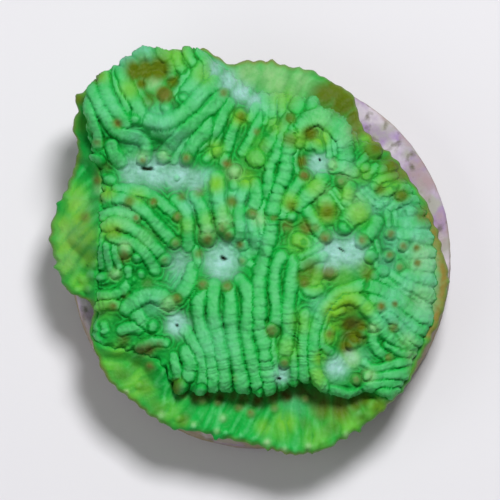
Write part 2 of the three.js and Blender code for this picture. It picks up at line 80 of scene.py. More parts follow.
# Surveyed heights: plan x, plan y and height above the disc's top
UPPER_LOBE_SPOTS = [
    (12.5, 6.6, 8.4), (10.2, 9.0, 8.6), (10.8, 12.0, 9.0), (14.0, 11.6, 9.8), (17.0, 11.6, 9.8),
    (20.2, 9.6, 9.4), (20.0, 6.2, 8.6), (16.8, 5.2, 9.0), (14.6, 5.2, 9.0), (15.2, 7.8, 7.9),
    (14.0, 15.0, 7.6), (19.0, 15.4, 7.8), (21.6, 12.0, 8.2), (23.6, 11.0, 7.4), (9.4, 14.4, 6.8),
    (22.4, 7.0, 6.4), (24.4, 9.0, 5.6), (25.8, 10.3, 5.4),
]
LEFT_DOME_SPOTS = [
    (14.8, 17.2, 6.2), (18.0, 17.3, 6.4), (20.6, 17.8, 6.6), (22.8, 15.0, 6.8), (24.0, 16.6, 7.2),
    (11.6, 19.8, 7.6), (11.2, 23.0, 8.0), (14.0, 21.5, 7.8), (13.2, 24.6, 7.5), (16.4, 24.4, 6.5),
    (11.8, 26.8, 6.1), (10.0, 28.6, 4.8), (12.0, 29.8, 4.9), (10.0, 18.6, 5.2),
]
VALLEY_AND_FAN_SPOTS = [
    (18.0, 26.2, 5.2), (16.5, 28.0, 5.2), (22.2, 26.0, 5.6), (17.7, 32.3, 4.4),
    (19.2, 21.6, 6.6), (22.0, 21.2, 7.0), (24.4, 21.0, 7.3),
    (20.0, 29.6, 5.9), (23.0, 30.0, 6.3), (26.0, 30.0, 6.8), (29.0, 30.0, 6.7), (20.6, 34.6, 5.4),
    (23.4, 35.0, 5.7), (26.4, 35.0, 5.9), (29.8, 35.0, 5.8), (21.0, 38.0, 4.4), (25.0, 38.5, 4.5),
    (28.0, 37.6, 4.6), (30.2, 37.8, 4.6),
    (15.0, 30.0, 5.7), (14.5, 32.5, 5.0), (12.5, 33.0, 4.2), (10.4, 32.4, 3.3), (15.5, 34.3, 4.2),
    (19.0, 36.5, 4.5), (18.0, 38.3, 3.4), (12.6, 34.8, 2.8),
]
RIGHT_LOBE_SPOTS = [
    (27.8, 16.8, 7.9), (29.4, 12.8, 8.4), (31.6, 11.8, 8.8), (34.0, 14.0, 8.4), (34.4, 17.0, 7.8),
    (31.2, 14.8, 7.3), (31.9, 16.6, 7.0), (29.2, 20.8, 7.5), (31.2, 19.8, 7.7), (33.0, 21.2, 7.0),
    (35.0, 20.0, 7.2), (32.0, 23.4, 7.2), (34.2, 25.3, 6.7), (36.2, 23.8, 6.8), (30.4, 24.6, 7.2),
    (30.2, 27.6, 6.9), (33.2, 27.6, 6.4), (36.0, 27.6, 5.8),
    (37.6, 20.0, 5.2), (40.0, 20.0, 3.7), (41.6, 20.8, 2.6), (40.0, 24.2, 3.9), (42.6, 25.0, 2.3),
    (40.0, 28.2, 3.8), (43.0, 29.2, 2.4), (38.0, 17.0, 4.0), (35.8, 15.2, 5.4), (37.2, 15.2, 3.2),
    (34.6, 12.2, 4.2), (30.5, 10.2, 5.0), (27.6, 10.2, 5.2),
]
LOWER_CUP_SPOTS = [
    (34.5, 30.0, 6.4), (37.0, 31.5, 6.0), (38.5, 33.5, 5.0), (31.5, 34.0, 6.0), (32.0, 37.4, 5.0),
    (40.2, 34.6, 3.9), (35.4, 33.8, 4.1), (33.6, 36.7, 4.2), (35.2, 38.7, 4.0), (37.5, 36.4, 4.2),
    (40.2, 36.6, 2.9), (38.6, 38.6, 2.7), (42.0, 33.0, 2.7), (41.4, 35.4, 2.3),
]
MOUND_SPOTS = (
    UPPER_LOBE_SPOTS + LEFT_DOME_SPOTS + VALLEY_AND_FAN_SPOTS + RIGHT_LOBE_SPOTS + LOWER_CUP_SPOTS
)
SKIRT_SPOTS = [
    (25.0, 7.5, 1.7), (30.0, 8.5, 1.7), (34.0, 10.0, 1.6), (37.0, 15.0, 1.6), (41.0, 20.0, 1.5),
    (43.4, 25.0, 1.4), (43.8, 30.0, 1.4), (41.0, 36.0, 1.5), (37.0, 40.6, 1.6), (34.0, 42.0, 1.7),
    (30.0, 42.5, 1.7), (25.0, 42.5, 1.6), (20.0, 41.0, 1.7), (16.0, 39.5, 1.9), (13.0, 37.0, 2.0),
    (11.0, 35.0, 1.9), (9.6, 33.0, 1.8), (7.5, 28.0, 1.6), (6.0, 25.0, 1.7), (5.8, 22.5, 1.8),
    (7.9, 24.0, 2.7), (9.2, 20.0, 4.2), (7.0, 19.0, 2.3), (7.8, 16.0, 3.2), (9.2, 16.4, 4.4),
    (9.2, 23.0, 4.5), (9.1, 26.0, 4.1), (9.2, 28.8, 3.2), (7.8, 20.4, 2.8), (9.4, 13.4, 5.0),
    (8.0, 13.0, 4.6), (7.8, 10.0, 5.0), (10.0, 8.0, 5.0), (13.0, 7.0, 4.6), (17.0, 6.0, 4.2),
    (20.5, 5.2, 3.6), (23.0, 6.6, 2.4), (26.0, 25.0, 2.0),
]
# How far one surveyed height reaches, and its weight far away from all of them
BLEND_WIDTH = 1.35
FAR_WEIGHT = 1e-4


def surveyed(spots, x, y):
    """Height at plan points: the surveyed heights, each weighed by how near it is."""
    total = np.zeros_like(x)
    weights = np.zeros_like(x)
    for spot_x, spot_y, height in spots:
        distance2 = (x - spot_x) ** 2 + (y - spot_y) ** 2
        weight = np.exp(-distance2 / (2 * BLEND_WIDTH**2)) + FAR_WEIGHT / (1 + distance2**2)
        total += weight * height
        weights += weight
    return total / weights


# Outlines on the plan, clockwise from the top
SKIRT_OUTLINE = [
    (20.4, 4.9), (21.8, 5.7), (23.2, 6.4), (24.5, 6.0), (27.2, 6.1), (29.0, 6.6), (31.0, 6.9), (32.5, 7.7),
    (34.0, 8.6), (35.2, 9.3), (35.7, 10.7), (36.2, 12.5), (37.2, 13.7), (38.3, 14.7), (39.5, 15.8),
    (40.4, 17.0), (41.6, 18.8), (42.7, 20.3), (43.3, 21.8), (43.9, 23.7), (44.3, 25.5), (44.8, 27.0),
    (44.8, 28.6), (44.5, 30.2), (44.1, 31.5), (43.6, 32.8), (42.8, 34.2), (42.1, 35.6), (41.6, 36.6),
    (41.1, 37.7), (40.2, 39.0), (39.2, 40.0), (38.0, 41.2), (36.6, 42.3), (35.2, 43.1), (33.8, 44.1),
    (32.5, 44.8), (31.0, 45.1), (29.6, 45.3), (28.4, 45.1), (26.8, 44.7), (25.0, 44.3), (23.6, 44.0),
    (22.2, 43.7), (20.8, 43.2), (19.0, 43.0), (17.5, 42.8), (16.0, 42.0), (14.8, 41.3), (13.8, 40.4),
    (12.8, 39.6), (11.5, 38.6), (10.6, 37.5), (10.0, 36.2), (9.6, 35.0), (9.2, 34.0), (9.0, 33.0),
    (9.3, 31.8), (9.3, 30.6), (8.6, 29.9), (7.4, 29.5), (6.6, 28.8), (6.1, 27.8), (5.7, 26.4),
    (5.3, 25.2), (5.0, 23.8), (5.2, 22.2), (5.7, 21.0), (6.1, 20.0), (6.6, 19.0), (6.9, 18.0),
    (7.3, 17.2), (7.6, 16.2), (7.8, 15.2), (7.7, 14.0), (7.3, 13.0), (7.4, 12.0), (7.8, 11.2),
    (7.6, 10.2), (7.7, 9.5), (8.6, 9.1), (9.8, 8.2), (11.4, 7.0), (13.0, 6.0), (15.0, 5.4), (17.6, 4.9),
]
MOUND_OUTLINE = [
    (19.4, 4.7), (20.6, 5.4), (21.8, 6.3), (23.6, 7.6), (25.4, 8.9), (27.4, 9.2), (30.4, 9.7), (33.0, 11.2),
    (35.4, 13.2), (37.6, 15.0), (39.8, 17.4), (41.8, 19.8), (43.0, 22.2), (43.6, 25.0), (43.7, 28.0),
    (43.4, 31.0), (42.6, 33.4), (41.5, 35.6), (40.8, 37.2), (39.6, 39.2), (38.4, 39.6), (37.3, 39.2),
    (36.2, 39.2), (34.5, 39.5), (32.4, 39.1), (30.8, 38.2), (29.0, 38.8), (26.4, 39.3), (24.0, 39.0),
    (22.0, 38.9), (20.2, 39.0), (18.0, 38.9), (16.9, 37.8), (15.4, 36.0), (13.2, 35.2), (10.6, 34.8),
    (9.4, 33.4), (9.7, 31.6), (9.7, 30.0), (9.7, 28.0), (9.9, 25.6), (10.1, 22.6), (10.2, 19.8),
    (10.0, 17.6), (9.3, 15.4), (8.7, 13.2), (8.5, 11.0), (8.8, 9.4), (9.8, 8.0), (11.0, 6.9),
    (12.3, 6.0), (13.6, 5.3), (15.2, 4.8), (16.6, 5.1), (18.0, 4.9),
]

# Ribs on the plan: width, then the points that the rib runs through
FAN_RIBS = [
    (1.5, (18.7, 35.0), (19.1, 36.2), (18.9, 37.4)),
    (1.2, (18.6, 33.0), (19.2, 34.0), (19.8, 35.2), (20.3, 36.6), (20.4, 38.0)),
    (1.3, (20.3, 28.8), (19.8, 30.5), (19.9, 32.0), (20.5, 33.8), (21.0, 35.2), (21.2, 36.8), (21.6, 38.8)),
    (1.35, (21.4, 28.5), (21.3, 30.5), (21.4, 32.0), (21.8, 33.5), (22.1, 35.0), (22.3, 36.4), (22.7, 38.8)),
    (1.4, (22.8, 28.7), (23.1, 30.0), (23.1, 32.0), (23.3, 33.8), (23.6, 35.2), (23.9, 36.8), (24.4, 38.9)),
    (1.3, (24.0, 27.9), (24.7, 29.0), (24.8, 30.5), (24.7, 33.5), (25.0, 35.0), (25.3, 36.5), (25.9, 38.8)),
    (1.2, (28.1, 25.6), (27.6, 26.6), (27.4, 28.0), (27.5, 29.5), (27.6, 31.0), (27.6, 32.0), (27.3, 32.9)),
    (1.35, (29.4, 26.0), (29.2, 27.0), (29.1, 28.3), (28.8, 30.4), (28.8, 33.0), (28.6, 34.5), (28.4, 36.0)),
    (0.8, (29.2, 35.0), (29.4, 37.6)),
    (1.1, (30.5, 31.4), (30.4, 32.8), (30.3, 34.2), (30.3, 37.4)),
    (0.9, (27.1, 33.8), (27.3, 35.4), (27.5, 37.2)),
]
LOWER_LEFT_RIBS = [
    (1.6, (12.8, 30.8), (14.0, 29.7), (15.2, 29.4), (16.3, 29.7), (16.9, 30.2)),
    (1.4, (13.7, 31.3), (14.4, 32.1), (15.2, 32.5)),
    (1.2, (12.2, 33.0), (13.0, 32.7), (13.9, 32.7)),
    (1.0, (14.2, 34.6), (15.4, 34.1), (16.6, 34.2)),
    (0.9, (17.4, 35.5), (17.7, 36.5), (17.9, 37.4)),
    (0.8, (9.8, 32.0), (10.0, 32.6)),
    (0.8, (10.4, 32.4), (10.6, 32.9)),
    (0.8, (9.7, 33.4), (10.2, 34.1)),
    (1.0, (9.8, 30.5), (11.0, 30.3), (11.7, 30.5)),
    (1.0, (10.0, 29.4), (11.2, 29.5), (12.4, 29.0), (13.1, 28.0)),
    (1.4, (19.3, 26.8), (19.0, 28.0), (18.6, 28.8), (17.8, 29.9)),
    (0.9, (17.4, 30.5), (17.9, 29.9)),
    (1.0, (20.3, 28.4), (19.6, 29.8)),
]
DOME_RIBS = [
    (1.1, (11.8, 18.9), (13.5, 19.0), (15.0, 19.4), (16.2, 20.3), (17.1, 21.1), (17.8, 21.7)),
    (1.2, (11.0, 19.8), (12.4, 19.8), (13.8, 20.5), (14.8, 21.4), (15.7, 22.4), (16.6, 23.4), (17.4, 24.3)),
    (0.9, (10.2, 22.6), (10.7, 21.6), (11.5, 21.2), (12.6, 21.4), (13.7, 21.8)),
    (1.3, (11.0, 22.7), (11.8, 22.2), (12.8, 22.6), (13.8, 23.2), (14.8, 24.0), (15.7, 24.9), (16.5, 25.9)),
    (1.2, (11.3, 23.8), (12.8, 24.1), (14.1, 24.8), (15.0, 25.9), (15.6, 27.0)),
    (1.2, (17.6, 20.0), (18.4, 20.8), (18.8, 22.0), (18.8, 23.4), (18.9, 24.6)),
    (0.7, (10.4, 22.7), (9.8, 24.4), (9.5, 26.6)),
    (0.7, (10.7, 22.9), (10.4, 24.6), (10.3, 26.6)),
    (0.7, (11.0, 23.3), (11.0, 24.8), (11.1, 26.8)),
    (0.8, (11.4, 24.4), (11.7, 25.6), (12.0, 26.6)),
    (0.8, (12.9, 27.0), (13.1, 28.4)),
]
UPPER_LOBE_RIBS = [
    (0.85, (9.0, 10.0), (9.1, 11.2), (9.5, 12.4), (9.9, 13.6), (9.9, 14.6)),
    (1.2, (9.5, 8.3), (9.6, 9.5), (10.1, 10.8), (10.8, 12.1), (11.5, 13.1), (12.7, 13.6), (13.9, 13.8),
     (14.7, 14.5), (14.6, 15.7), (14.3, 16.0)),
    (1.4, (10.6, 7.8), (10.7, 9.2), (11.2, 10.4), (11.9, 11.4), (12.6, 12.3)),
    (1.5, (12.3, 7.6), (12.8, 8.8), (13.5, 10.0), (14.0, 11.0), (13.8, 11.9)),
    (0.8, (13.5, 8.2), (14.1, 9.4), (14.8, 10.3)),
    (1.6, (15.0, 12.1), (16.3, 12.4), (17.6, 11.9), (18.8, 11.0), (19.7, 10.0), (20.6, 9.0), (21.5, 8.4)),
    (1.4, (16.4, 15.6), (17.0, 14.7), (17.8, 13.8), (19.0, 12.8), (20.1, 11.8), (21.1, 10.9), (21.9, 10.0),
     (22.3, 9.4)),
    (1.5, (18.7, 15.8), (19.2, 14.7), (20.0, 13.8), (20.7, 13.0), (20.7, 12.0)),
    (1.4, (11.2, 14.6), (11.6, 15.6), (12.1, 16.2)),
    (1.0, (15.5, 13.4), (16.6, 13.6), (17.6, 13.0)),
    (1.1, (23.0, 10.3), (22.3, 11.6), (21.7, 12.9), (21.2, 14.2)),
    (1.4, (18.2, 9.8), (18.8, 8.9), (19.6, 8.0), (19.9, 6.8)),
    (1.0, (17.6, 9.2), (18.2, 8.3), (18.7, 7.4)),
    (1.1, (17.0, 6.6), (17.1, 7.6)),
    (0.9, (17.7, 5.6), (17.9, 6.6), (18.4, 7.2)),
    (0.9, (18.7, 5.1), (19.2, 6.2), (19.8, 6.8)),
    (0.9, (20.0, 5.4), (20.7, 6.4), (20.6, 7.6)),
    (0.7, (11.6, 6.9), (11.7, 8.6), (12.3, 9.8), (12.9, 11.0)),
    (0.5, (11.3, 7.0), (11.2, 8.6)),
    (1.1, (12.6, 6.4), (13.4, 6.4)),
    (1.3, (14.0, 5.6), (15.4, 5.3)),
    (1.2, (15.8, 5.2), (16.6, 5.8)),
    (0.7, (20.0, 14.9), (20.7, 14.3), (21.4, 13.4)),
    (0.7, (17.4, 16.2), (18.0, 15.0), (18.8, 14.0), (19.4, 13.4)),
]
MIDDLE_RIBS = [
    (1.3, (19.5, 19.6), (20.1, 20.6), (20.5, 22.0), (20.8, 23.2), (20.8, 23.9)),
    (1.5, (21.7, 17.9), (21.8, 19.6), (22.1, 21.2), (22.4, 22.5)),
    (1.2, (24.5, 18.6), (24.0, 20.0), (23.9, 21.4), (24.0, 22.8), (23.8, 24.2)),
    (1.3, (25.5, 18.4), (25.6, 20.0), (25.1, 21.2)),
    (1.1, (25.2, 22.2), (25.5, 23.6), (25.4, 25.0), (24.6, 25.6)),
    (0.9, (26.2, 20.4), (26.0, 21.6), (26.1, 22.8), (26.2, 24.2)),
    (0.7, (27.3, 12.0), (26.8, 13.5), (26.5, 14.8)),
    (0.8, (26.5, 9.9), (26.5, 12.2)),
    (0.8, (27.3, 9.7), (27.2, 11.6)),
    (0.8, (28.1, 9.8), (28.2, 11.4)),
    (0.9, (25.6, 10.7), (25.0, 11.9)),
    (0.8, (24.3, 26.0), (25.5, 26.6)),
    (0.9, (23.2, 19.4), (23.2, 21.0)),
    (1.0, (24.2, 11.4), (23.6, 12.4), (23.1, 13.6), (22.7, 14.9)),
    (0.9, (26.3, 11.4), (25.5, 12.8), (24.9, 14.1), (24.2, 15.3)),
    (1.3, (27.3, 13.2), (26.9, 14.2), (26.3, 15.2)),
    (0.8, (21.9, 13.4), (21.5, 15.0), (20.7, 15.9)),
    (0.9, (22.6, 15.4), (22.4, 16.4)),
    (0.8, (19.5, 24.9), (19.8, 26.2), (19.3, 27.2)),
]
# Two chains of beads that run down from the back
BEAD_CHAINS = [
    (1.0, (28.9, 11.5), (28.3, 12.8), (28.0, 14.0), (27.6, 15.5), (27.1, 16.4), (26.9, 17.4), (26.8, 18.4),
     (26.6, 19.5)),
    (1.45, (29.9, 12.2), (29.2, 13.5), (28.8, 14.8), (28.7, 15.8), (28.6, 16.8), (28.4, 17.8), (27.9, 18.8),
     (27.6, 19.8), (27.3, 20.8), (27.1, 22.0), (27.0, 23.3), (26.7, 24.5), (26.5, 25.3), (26.2, 26.2),
     (26.0, 27.2), (25.9, 28.5), (25.9, 31.5), (25.9, 32.8), (26.3, 34.0), (26.5, 35.2), (26.8, 38.6)),
]
RIGHT_LOBE_RIBS = [
    (1.6, (29.8, 14.2), (29.9, 12.9), (30.6, 12.1), (31.6, 11.8), (32.7, 12.3), (33.8, 13.2), (34.4, 14.4),
     (34.5, 15.6)),
    (0.6, (29.7, 17.2), (29.5, 15.8), (29.8, 14.6)),
    (0.7, (32.6, 13.5), (32.8, 14.6), (32.9, 15.6)),
    (0.6, (33.3, 14.2), (33.5, 15.4)),
    (1.0, (30.9, 14.6), (31.6, 14.4), (31.9, 15.0)),
    (1.2, (30.5, 17.7), (29.7, 18.5), (29.1, 19.4), (28.7, 20.6), (28.3, 21.4)),
    (1.5, (32.2, 17.9), (31.6, 18.8), (30.6, 19.7), (29.9, 20.6)),
    (0.8, (32.2, 17.4), (32.5, 18.3)),
    (1.7, (32.6, 20.3), (32.7, 21.8)),
    (1.3, (30.7, 21.0), (31.3, 22.1), (31.9, 23.1), (32.5, 23.7)),
    (1.3, (29.8, 24.0), (30.8, 24.3)),
    (1.0, (29.6, 25.9), (30.9, 25.3), (31.9, 24.7)),
    (1.2, (30.2, 26.5), (31.3, 25.9), (32.3, 25.6)),
    (1.2, (31.9, 26.9), (31.4, 28.3)),
    (1.1, (30.3, 28.3), (30.9, 29.2), (31.8, 28.9)),
    (1.3, (33.3, 16.7), (34.4, 16.7), (35.3, 17.2)),
    (1.3, (34.9, 18.8), (34.6, 20.2)),
    (1.9, (34.3, 22.6), (35.1, 21.7), (36.2, 21.1)),
    (1.4, (36.2, 23.9), (37.2, 23.0), (37.6, 22.2)),
    (0.5, (33.0, 19.3), (33.7, 20.2), (34.2, 20.8)),
    (0.5, (33.4, 19.0), (34.1, 19.9)),
    (0.5, (35.8, 19.5), (36.8, 20.6)),
    (0.5, (36.2, 19.1), (37.4, 20.4)),
    (0.5, (36.7, 18.9), (38.0, 20.2)),
    (0.5, (37.6, 24.2), (38.0, 26.0)),
    (0.5, (37.1, 24.8), (37.6, 26.6)),
    (0.8, (31.0, 23.9), (31.6, 24.3)),
]
CUP_RIBS = [
    (1.3, (36.4, 28.4), (34.8, 28.9), (33.3, 29.7), (32.2, 31.0), (31.6, 32.6), (31.3, 34.2), (31.3, 36.0),
     (31.6, 37.4), (32.2, 38.5)),
    (0.8, (33.1, 30.6), (32.6, 31.7), (32.2, 33.0), (32.3, 34.5), (33.0, 35.1)),
    (1.3, (33.2, 30.4), (34.2, 29.8), (35.3, 29.8), (36.3, 30.4), (37.0, 31.3), (37.7, 32.2), (38.5, 33.2),
     (39.4, 34.0), (40.2, 34.6)),
    (1.0, (32.9, 32.9), (32.8, 33.9)),
    (1.0, (37.4, 33.0), (37.2, 34.0), (37.7, 35.0), (38.7, 35.7)),
    (1.0, (38.8, 34.3), (39.8, 35.0), (41.2, 35.4)),
    (0.9, (36.4, 36.2), (37.6, 36.8), (39.4, 36.3), (41.0, 35.9)),
    (1.0, (36.7, 37.6), (38.2, 37.5), (39.8, 37.2), (41.0, 36.8)),
    (0.9, (36.4, 38.6), (38.0, 38.2), (39.8, 38.1)),
    (1.3, (37.8, 39.2), (39.4, 39.0)),
    (0.9, (33.0, 38.8), (34.5, 39.1), (35.8, 39.0)),
    (1.0, (35.0, 34.2), (35.8, 34.1)),
    (0.7, (33.4, 31.4), (34.2, 31.0)),
]
RIGHT_SLOPE_RIBS = [
    (1.41, (36.8, 28.5), (38.6, 29.1), (40.2, 30.2), (41.6, 31.3), (42.8, 31.8)),
    (1.06, (37.2, 29.8), (38.6, 30.4), (40.0, 31.5), (41.2, 32.6), (42.3, 33.0)),
    (1.06, (38.0, 31.0), (39.2, 31.8), (40.4, 33.0), (41.3, 33.9), (41.9, 34.2)),
    (0.97, (39.3, 33.1), (40.4, 34.2), (41.3, 34.8)),
    (1.14, (38.7, 27.2), (40.2, 28.3), (41.8, 29.0), (43.0, 29.6)),
    (1.06, (37.9, 27.9), (39.2, 28.3), (40.6, 29.2)),
    (1.14, (40.4, 27.4), (41.9, 27.8), (43.3, 28.0)),
    (1.23, (41.6, 26.5), (43.4, 26.6)),
    (1.23, (41.0, 25.3), (43.3, 25.2)),
    (1.32, (40.2, 23.4), (42.8, 23.8)),
    (1.14, (40.2, 22.3), (42.3, 22.3)),
    (0.6, (38.7, 21.2), (38.8, 22.5)),
    (0.6, (39.4, 21.2), (39.6, 22.4)),
    (0.88, (39.0, 20.8), (40.4, 20.0), (41.4, 19.9)),
    (0.88, (38.2, 19.6), (39.4, 18.9), (40.4, 18.8)),
    (0.88, (37.2, 18.6), (38.2, 17.8), (39.2, 17.6)),
    (0.79, (36.6, 17.6), (37.4, 16.8)),
    (0.79, (36.0, 16.4), (36.6, 15.6)),
    (0.8, (37.9, 20.6), (38.4, 20.0)),
]

SMOOTH_RIBS = (
    FAN_RIBS + LOWER_LEFT_RIBS + DOME_RIBS + UPPER_LOBE_RIBS + MIDDLE_RIBS + RIGHT_LOBE_RIBS
    + CUP_RIBS + RIGHT_SLOPE_RIBS
)

# Knobs on the mound: plan x, plan y and radius
KNOBS = [
    (20.8, 23.9, 0.85), (22.4, 22.8, 0.8), (22.9, 23.4, 0.75), (25.2, 21.4, 0.65), (24.3, 24.6, 0.65),
    (24.3, 26.0, 0.55), (17.8, 21.7, 0.6), (17.5, 24.3, 0.65), (16.5, 25.9, 0.75), (17.8, 29.8, 0.65),
    (16.9, 30.2, 0.85), (15.3, 32.5, 0.75), (20.3, 28.4, 0.7), (22.7, 28.7, 0.7), (27.2, 32.9, 0.85),
    (28.4, 36.1, 0.7), (30.4, 17.6, 0.65), (32.5, 23.7, 0.75), (34.4, 22.6, 0.95), (36.2, 24.0, 0.9),
    (30.4, 28.3, 0.55), (34.1, 18.2, 0.65), (14.3, 16.0, 0.65), (16.4, 15.7, 0.8), (18.7, 15.9, 0.8),
    (15.6, 8.4, 1.25), (16.5, 9.4, 0.8), (24.1, 11.5, 0.7), (12.6, 25.0, 0.85), (33.0, 27.2, 0.8),
    (35.2, 34.2, 0.8), (36.1, 33.2, 0.6), (15.4, 20.2, 0.6), (11.2, 18.0, 0.6), (13.6, 12.0, 0.7),
    (9.8, 18.0, 0.6), (9.9, 16.2, 0.75), (16.7, 10.8, 0.65), (11.7, 27.4, 0.55), (13.8, 25.8, 0.55),
    (18.2, 38.4, 0.8), (20.3, 38.6, 0.7), (25.9, 38.8, 0.6), (31.1, 10.7, 0.75), (29.6, 10.7, 0.85),
    (33.2, 16.6, 0.65), (37.3, 32.8, 0.6), (38.8, 35.7, 0.5), (35.5, 37.8, 0.55), (37.1, 40.2, 0.6),
    (23.4, 18.6, 0.65), (29.1, 21.7, 0.6), (30.3, 24.2, 0.55), (27.1, 22.0, 0.75), (23.4, 17.2, 0.7),
    (25.6, 15.8, 1.05), (21.7, 15.2, 0.7), (29.0, 11.9, 0.6), (36.7, 37.5, 0.6), (18.4, 9.7, 0.7),
    (14.2, 27.4, 0.5), (10.4, 27.6, 0.5), (17.7, 17.8, 0.35), (35.2, 10.6, 0.8), (33.4, 10.5, 0.7),
]
# Small knobs on the right slope, and on the skirt
SLOPE_KNOBS = [
    (39.0, 23.4, 0.65), (38.8, 25.6, 0.6), (40.3, 24.6, 0.65), (41.6, 24.8, 0.55), (41.7, 26.4, 0.5),
    (39.9, 26.7, 0.65), (39.6, 30.5, 0.5), (38.0, 30.8, 0.65), (39.3, 32.8, 0.6), (37.0, 25.6, 0.75),
    (38.3, 27.1, 0.75), (37.4, 27.6, 0.6), (38.6, 20.2, 0.5), (40.0, 19.8, 0.6), (37.4, 18.6, 0.55),
    (39.4, 18.8, 0.5), (36.5, 16.8, 0.6), (41.0, 21.2, 0.6), (38.2, 17.0, 0.6), (37.4, 15.0, 0.95),
    (38.9, 16.6, 0.85), (40.6, 18.0, 0.6),
]
SKIRT_KNOBS = [
    (37.3, 14.9, 0.9), (38.9, 16.6, 0.8), (20.3, 39.9, 0.6), (21.8, 40.1, 0.5), (23.9, 40.6, 0.55),
    (25.1, 41.2, 0.6), (27.4, 40.8, 0.5), (30.5, 39.8, 0.55), (22.3, 41.7, 0.45), (17.9, 41.7, 0.45),
    (14.0, 38.4, 0.5), (15.0, 36.6, 0.45), (35.8, 41.2, 0.6), (34.8, 43.0, 0.4), (8.6, 21.7, 0.5),
    (9.2, 27.4, 0.55), (8.3, 27.9, 0.5), (8.9, 28.8, 0.5), (7.8, 28.9, 0.4), (9.4, 26.4, 0.5),
    (19.4, 42.5, 0.45), (21.7, 42.8, 0.5), (22.6, 43.1, 0.4), (28.4, 44.6, 0.45), (30.7, 44.4, 0.45),
    (26.7, 44.0, 0.4), (34.5, 43.1, 0.45), (12.7, 39.1, 0.35), (16.0, 41.5, 0.5), (24.1, 43.4, 0.4),
    (25.3, 43.7, 0.4), (32.2, 44.0, 0.4), (38.3, 39.6, 0.8), (37.0, 40.4, 0.75), (29.5, 44.9, 0.4),
]

# Painted patches on the plan: x, y, radius and strength, soft at the edge
MOUTH_PATCHES = [
    (13.6, 17.2, 1.5, 0.75), (15.6, 17.2, 1.6, 0.85), (17.8, 17.5, 1.4, 0.9), (19.4, 18.0, 1.2, 0.6),
    (22.2, 26.2, 1.6, 1.0), (22.4, 24.9, 1.0, 0.5), (17.8, 32.4, 1.1, 1.0), (28.0, 37.3, 0.9, 0.8),
    (31.9, 16.4, 1.0, 0.9), (33.2, 25.3, 1.6, 1.0), (35.0, 25.2, 1.5, 1.0), (33.6, 36.7, 1.1, 1.0),
    (18.0, 26.2, 1.3, 0.5), (21.6, 6.9, 1.0, 0.7), (22.8, 8.0, 1.1, 0.9), (24.2, 9.2, 1.1, 0.9),
    (25.4, 10.2, 0.9, 0.7), (35.0, 35.6, 0.7, 0.5),
]
# Where no folds lie between the ribs
SMOOTH_PATCHES = [
    (34.6, 31.8, 1.7, 1.0), (33.4, 32.6, 1.0, 1.0), (35.0, 35.2, 1.6, 1.0), (33.8, 37.0, 1.6, 1.0),
    (14.4, 7.2, 1.7, 0.8), (16.0, 7.0, 1.2, 0.8), (22.4, 17.2, 1.2, 0.6), (25.6, 15.8, 1.6, 0.8),
    (11.0, 31.6, 1.1, 0.8), (11.6, 34.0, 1.4, 0.9), (13.6, 34.2, 1.1, 0.9), (16.2, 35.4, 1.1, 0.8),
    (15.0, 31.0, 0.9, 0.7), (14.4, 28.2, 1.3, 0.6), (41.4, 22.8, 1.2, 0.7), (23.4, 13.6, 1.0, 0.6),
    (34.6, 27.0, 1.8, 0.8), (31.0, 14.6, 1.3, 0.7), (39.6, 22.6, 1.4, 0.5), (12.8, 14.8, 1.3, 0.6),
]

# Where the ribs lie low and soft
SOFT_PATCHES = [
    (42.6, 24.4, 2.0, 0.55), (42.8, 27.4, 2.0, 0.6), (42.4, 30.4, 1.8, 0.5), (41.4, 33.2, 1.4, 0.35),
    (41.2, 35.4, 1.2, 0.45), (41.6, 22.4, 1.5, 0.45),
]
PATCH_FALL = 1.3


def painted(patches, x, y):
    """How strongly patches cover plan points, 0 to 1."""
    cover = np.zeros_like(x)
    for patch_x, patch_y, radius, strength in patches:
        distance2 = ((x - patch_x) ** 2 + (y - patch_y) ** 2) / radius**2
        cover = np.maximum(cover, strength * np.exp(-(distance2**PATCH_FALL)))
    return cover


PATH_STEP = 0.3
SPAN_POINTS = 12


def smooth_path(points, closed=False):
    """Points every PATH_STEP along a smooth curve through the given points."""
    p = np.array(points, float)
    if closed:
        p = np.vstack([p[-1], p, p[0], p[1]])
    else:
        p = np.vstack([2 * p[0] - p[1], p, 2 * p[-1] - p[-2]])
    t = np.linspace(0, 1, SPAN_POINTS, endpoint=False)[:, None]
    spans = []
    for a, b, c, d in zip(p[:-3], p[1:-2], p[2:-1], p[3:]):
        bend = (2 * a - 5 * b + 4 * c - d) * t**2 + (3 * b - a - 3 * c + d) * t**3
        spans.append(0.5 * (2 * b + (c - a) * t + bend))
    spans.append(p[-2][None])
    dense = np.vstack(spans)
    walked = np.r_[0, np.cumsum(np.linalg.norm(np.diff(dense, axis=0), axis=1))]
    stations = np.linspace(0, walked[-1], max(2, round(walked[-1] / PATH_STEP)) + 1)
    return np.stack([np.interp(stations, walked, dense[:, axis]) for axis in (0, 1)], axis=1)


def nearest_on_path(path, x, y):
    """How far each plan point is from a path, and how far along the path its nearest point is."""
    best = np.full(x.shape, np.inf)
    along = np.zeros_like(x)
    walked = 0.0
    for (ax, ay), (bx, by) in zip(path[:-1], path[1:]):
        length = math.hypot(bx - ax, by - ay)
        t = ((x - ax) * (bx - ax) + (y - ay) * (by - ay)) / length**2
        t = np.clip(t, 0, 1)
        distance = np.hypot(x - ax - t * (bx - ax), y - ay - t * (by - ay))
        nearer = distance < best
        best = np.where(nearer, distance, best)
        along = np.where(nearer, walked + t * length, along)
        walked += length
    return best, along, walked


def wobble(x, y):
    """A gentle uneven wave over the plan, from -1 to 1."""
    first = np.sin(2.3 * x + 1.1 * y + 2.0 * np.sin(0.9 * y))
    second = np.sin(1.7 * y - 2.9 * x + 1.5 * np.sin(1.3 * x + 0.4))
    return 0.5 * (first + second)


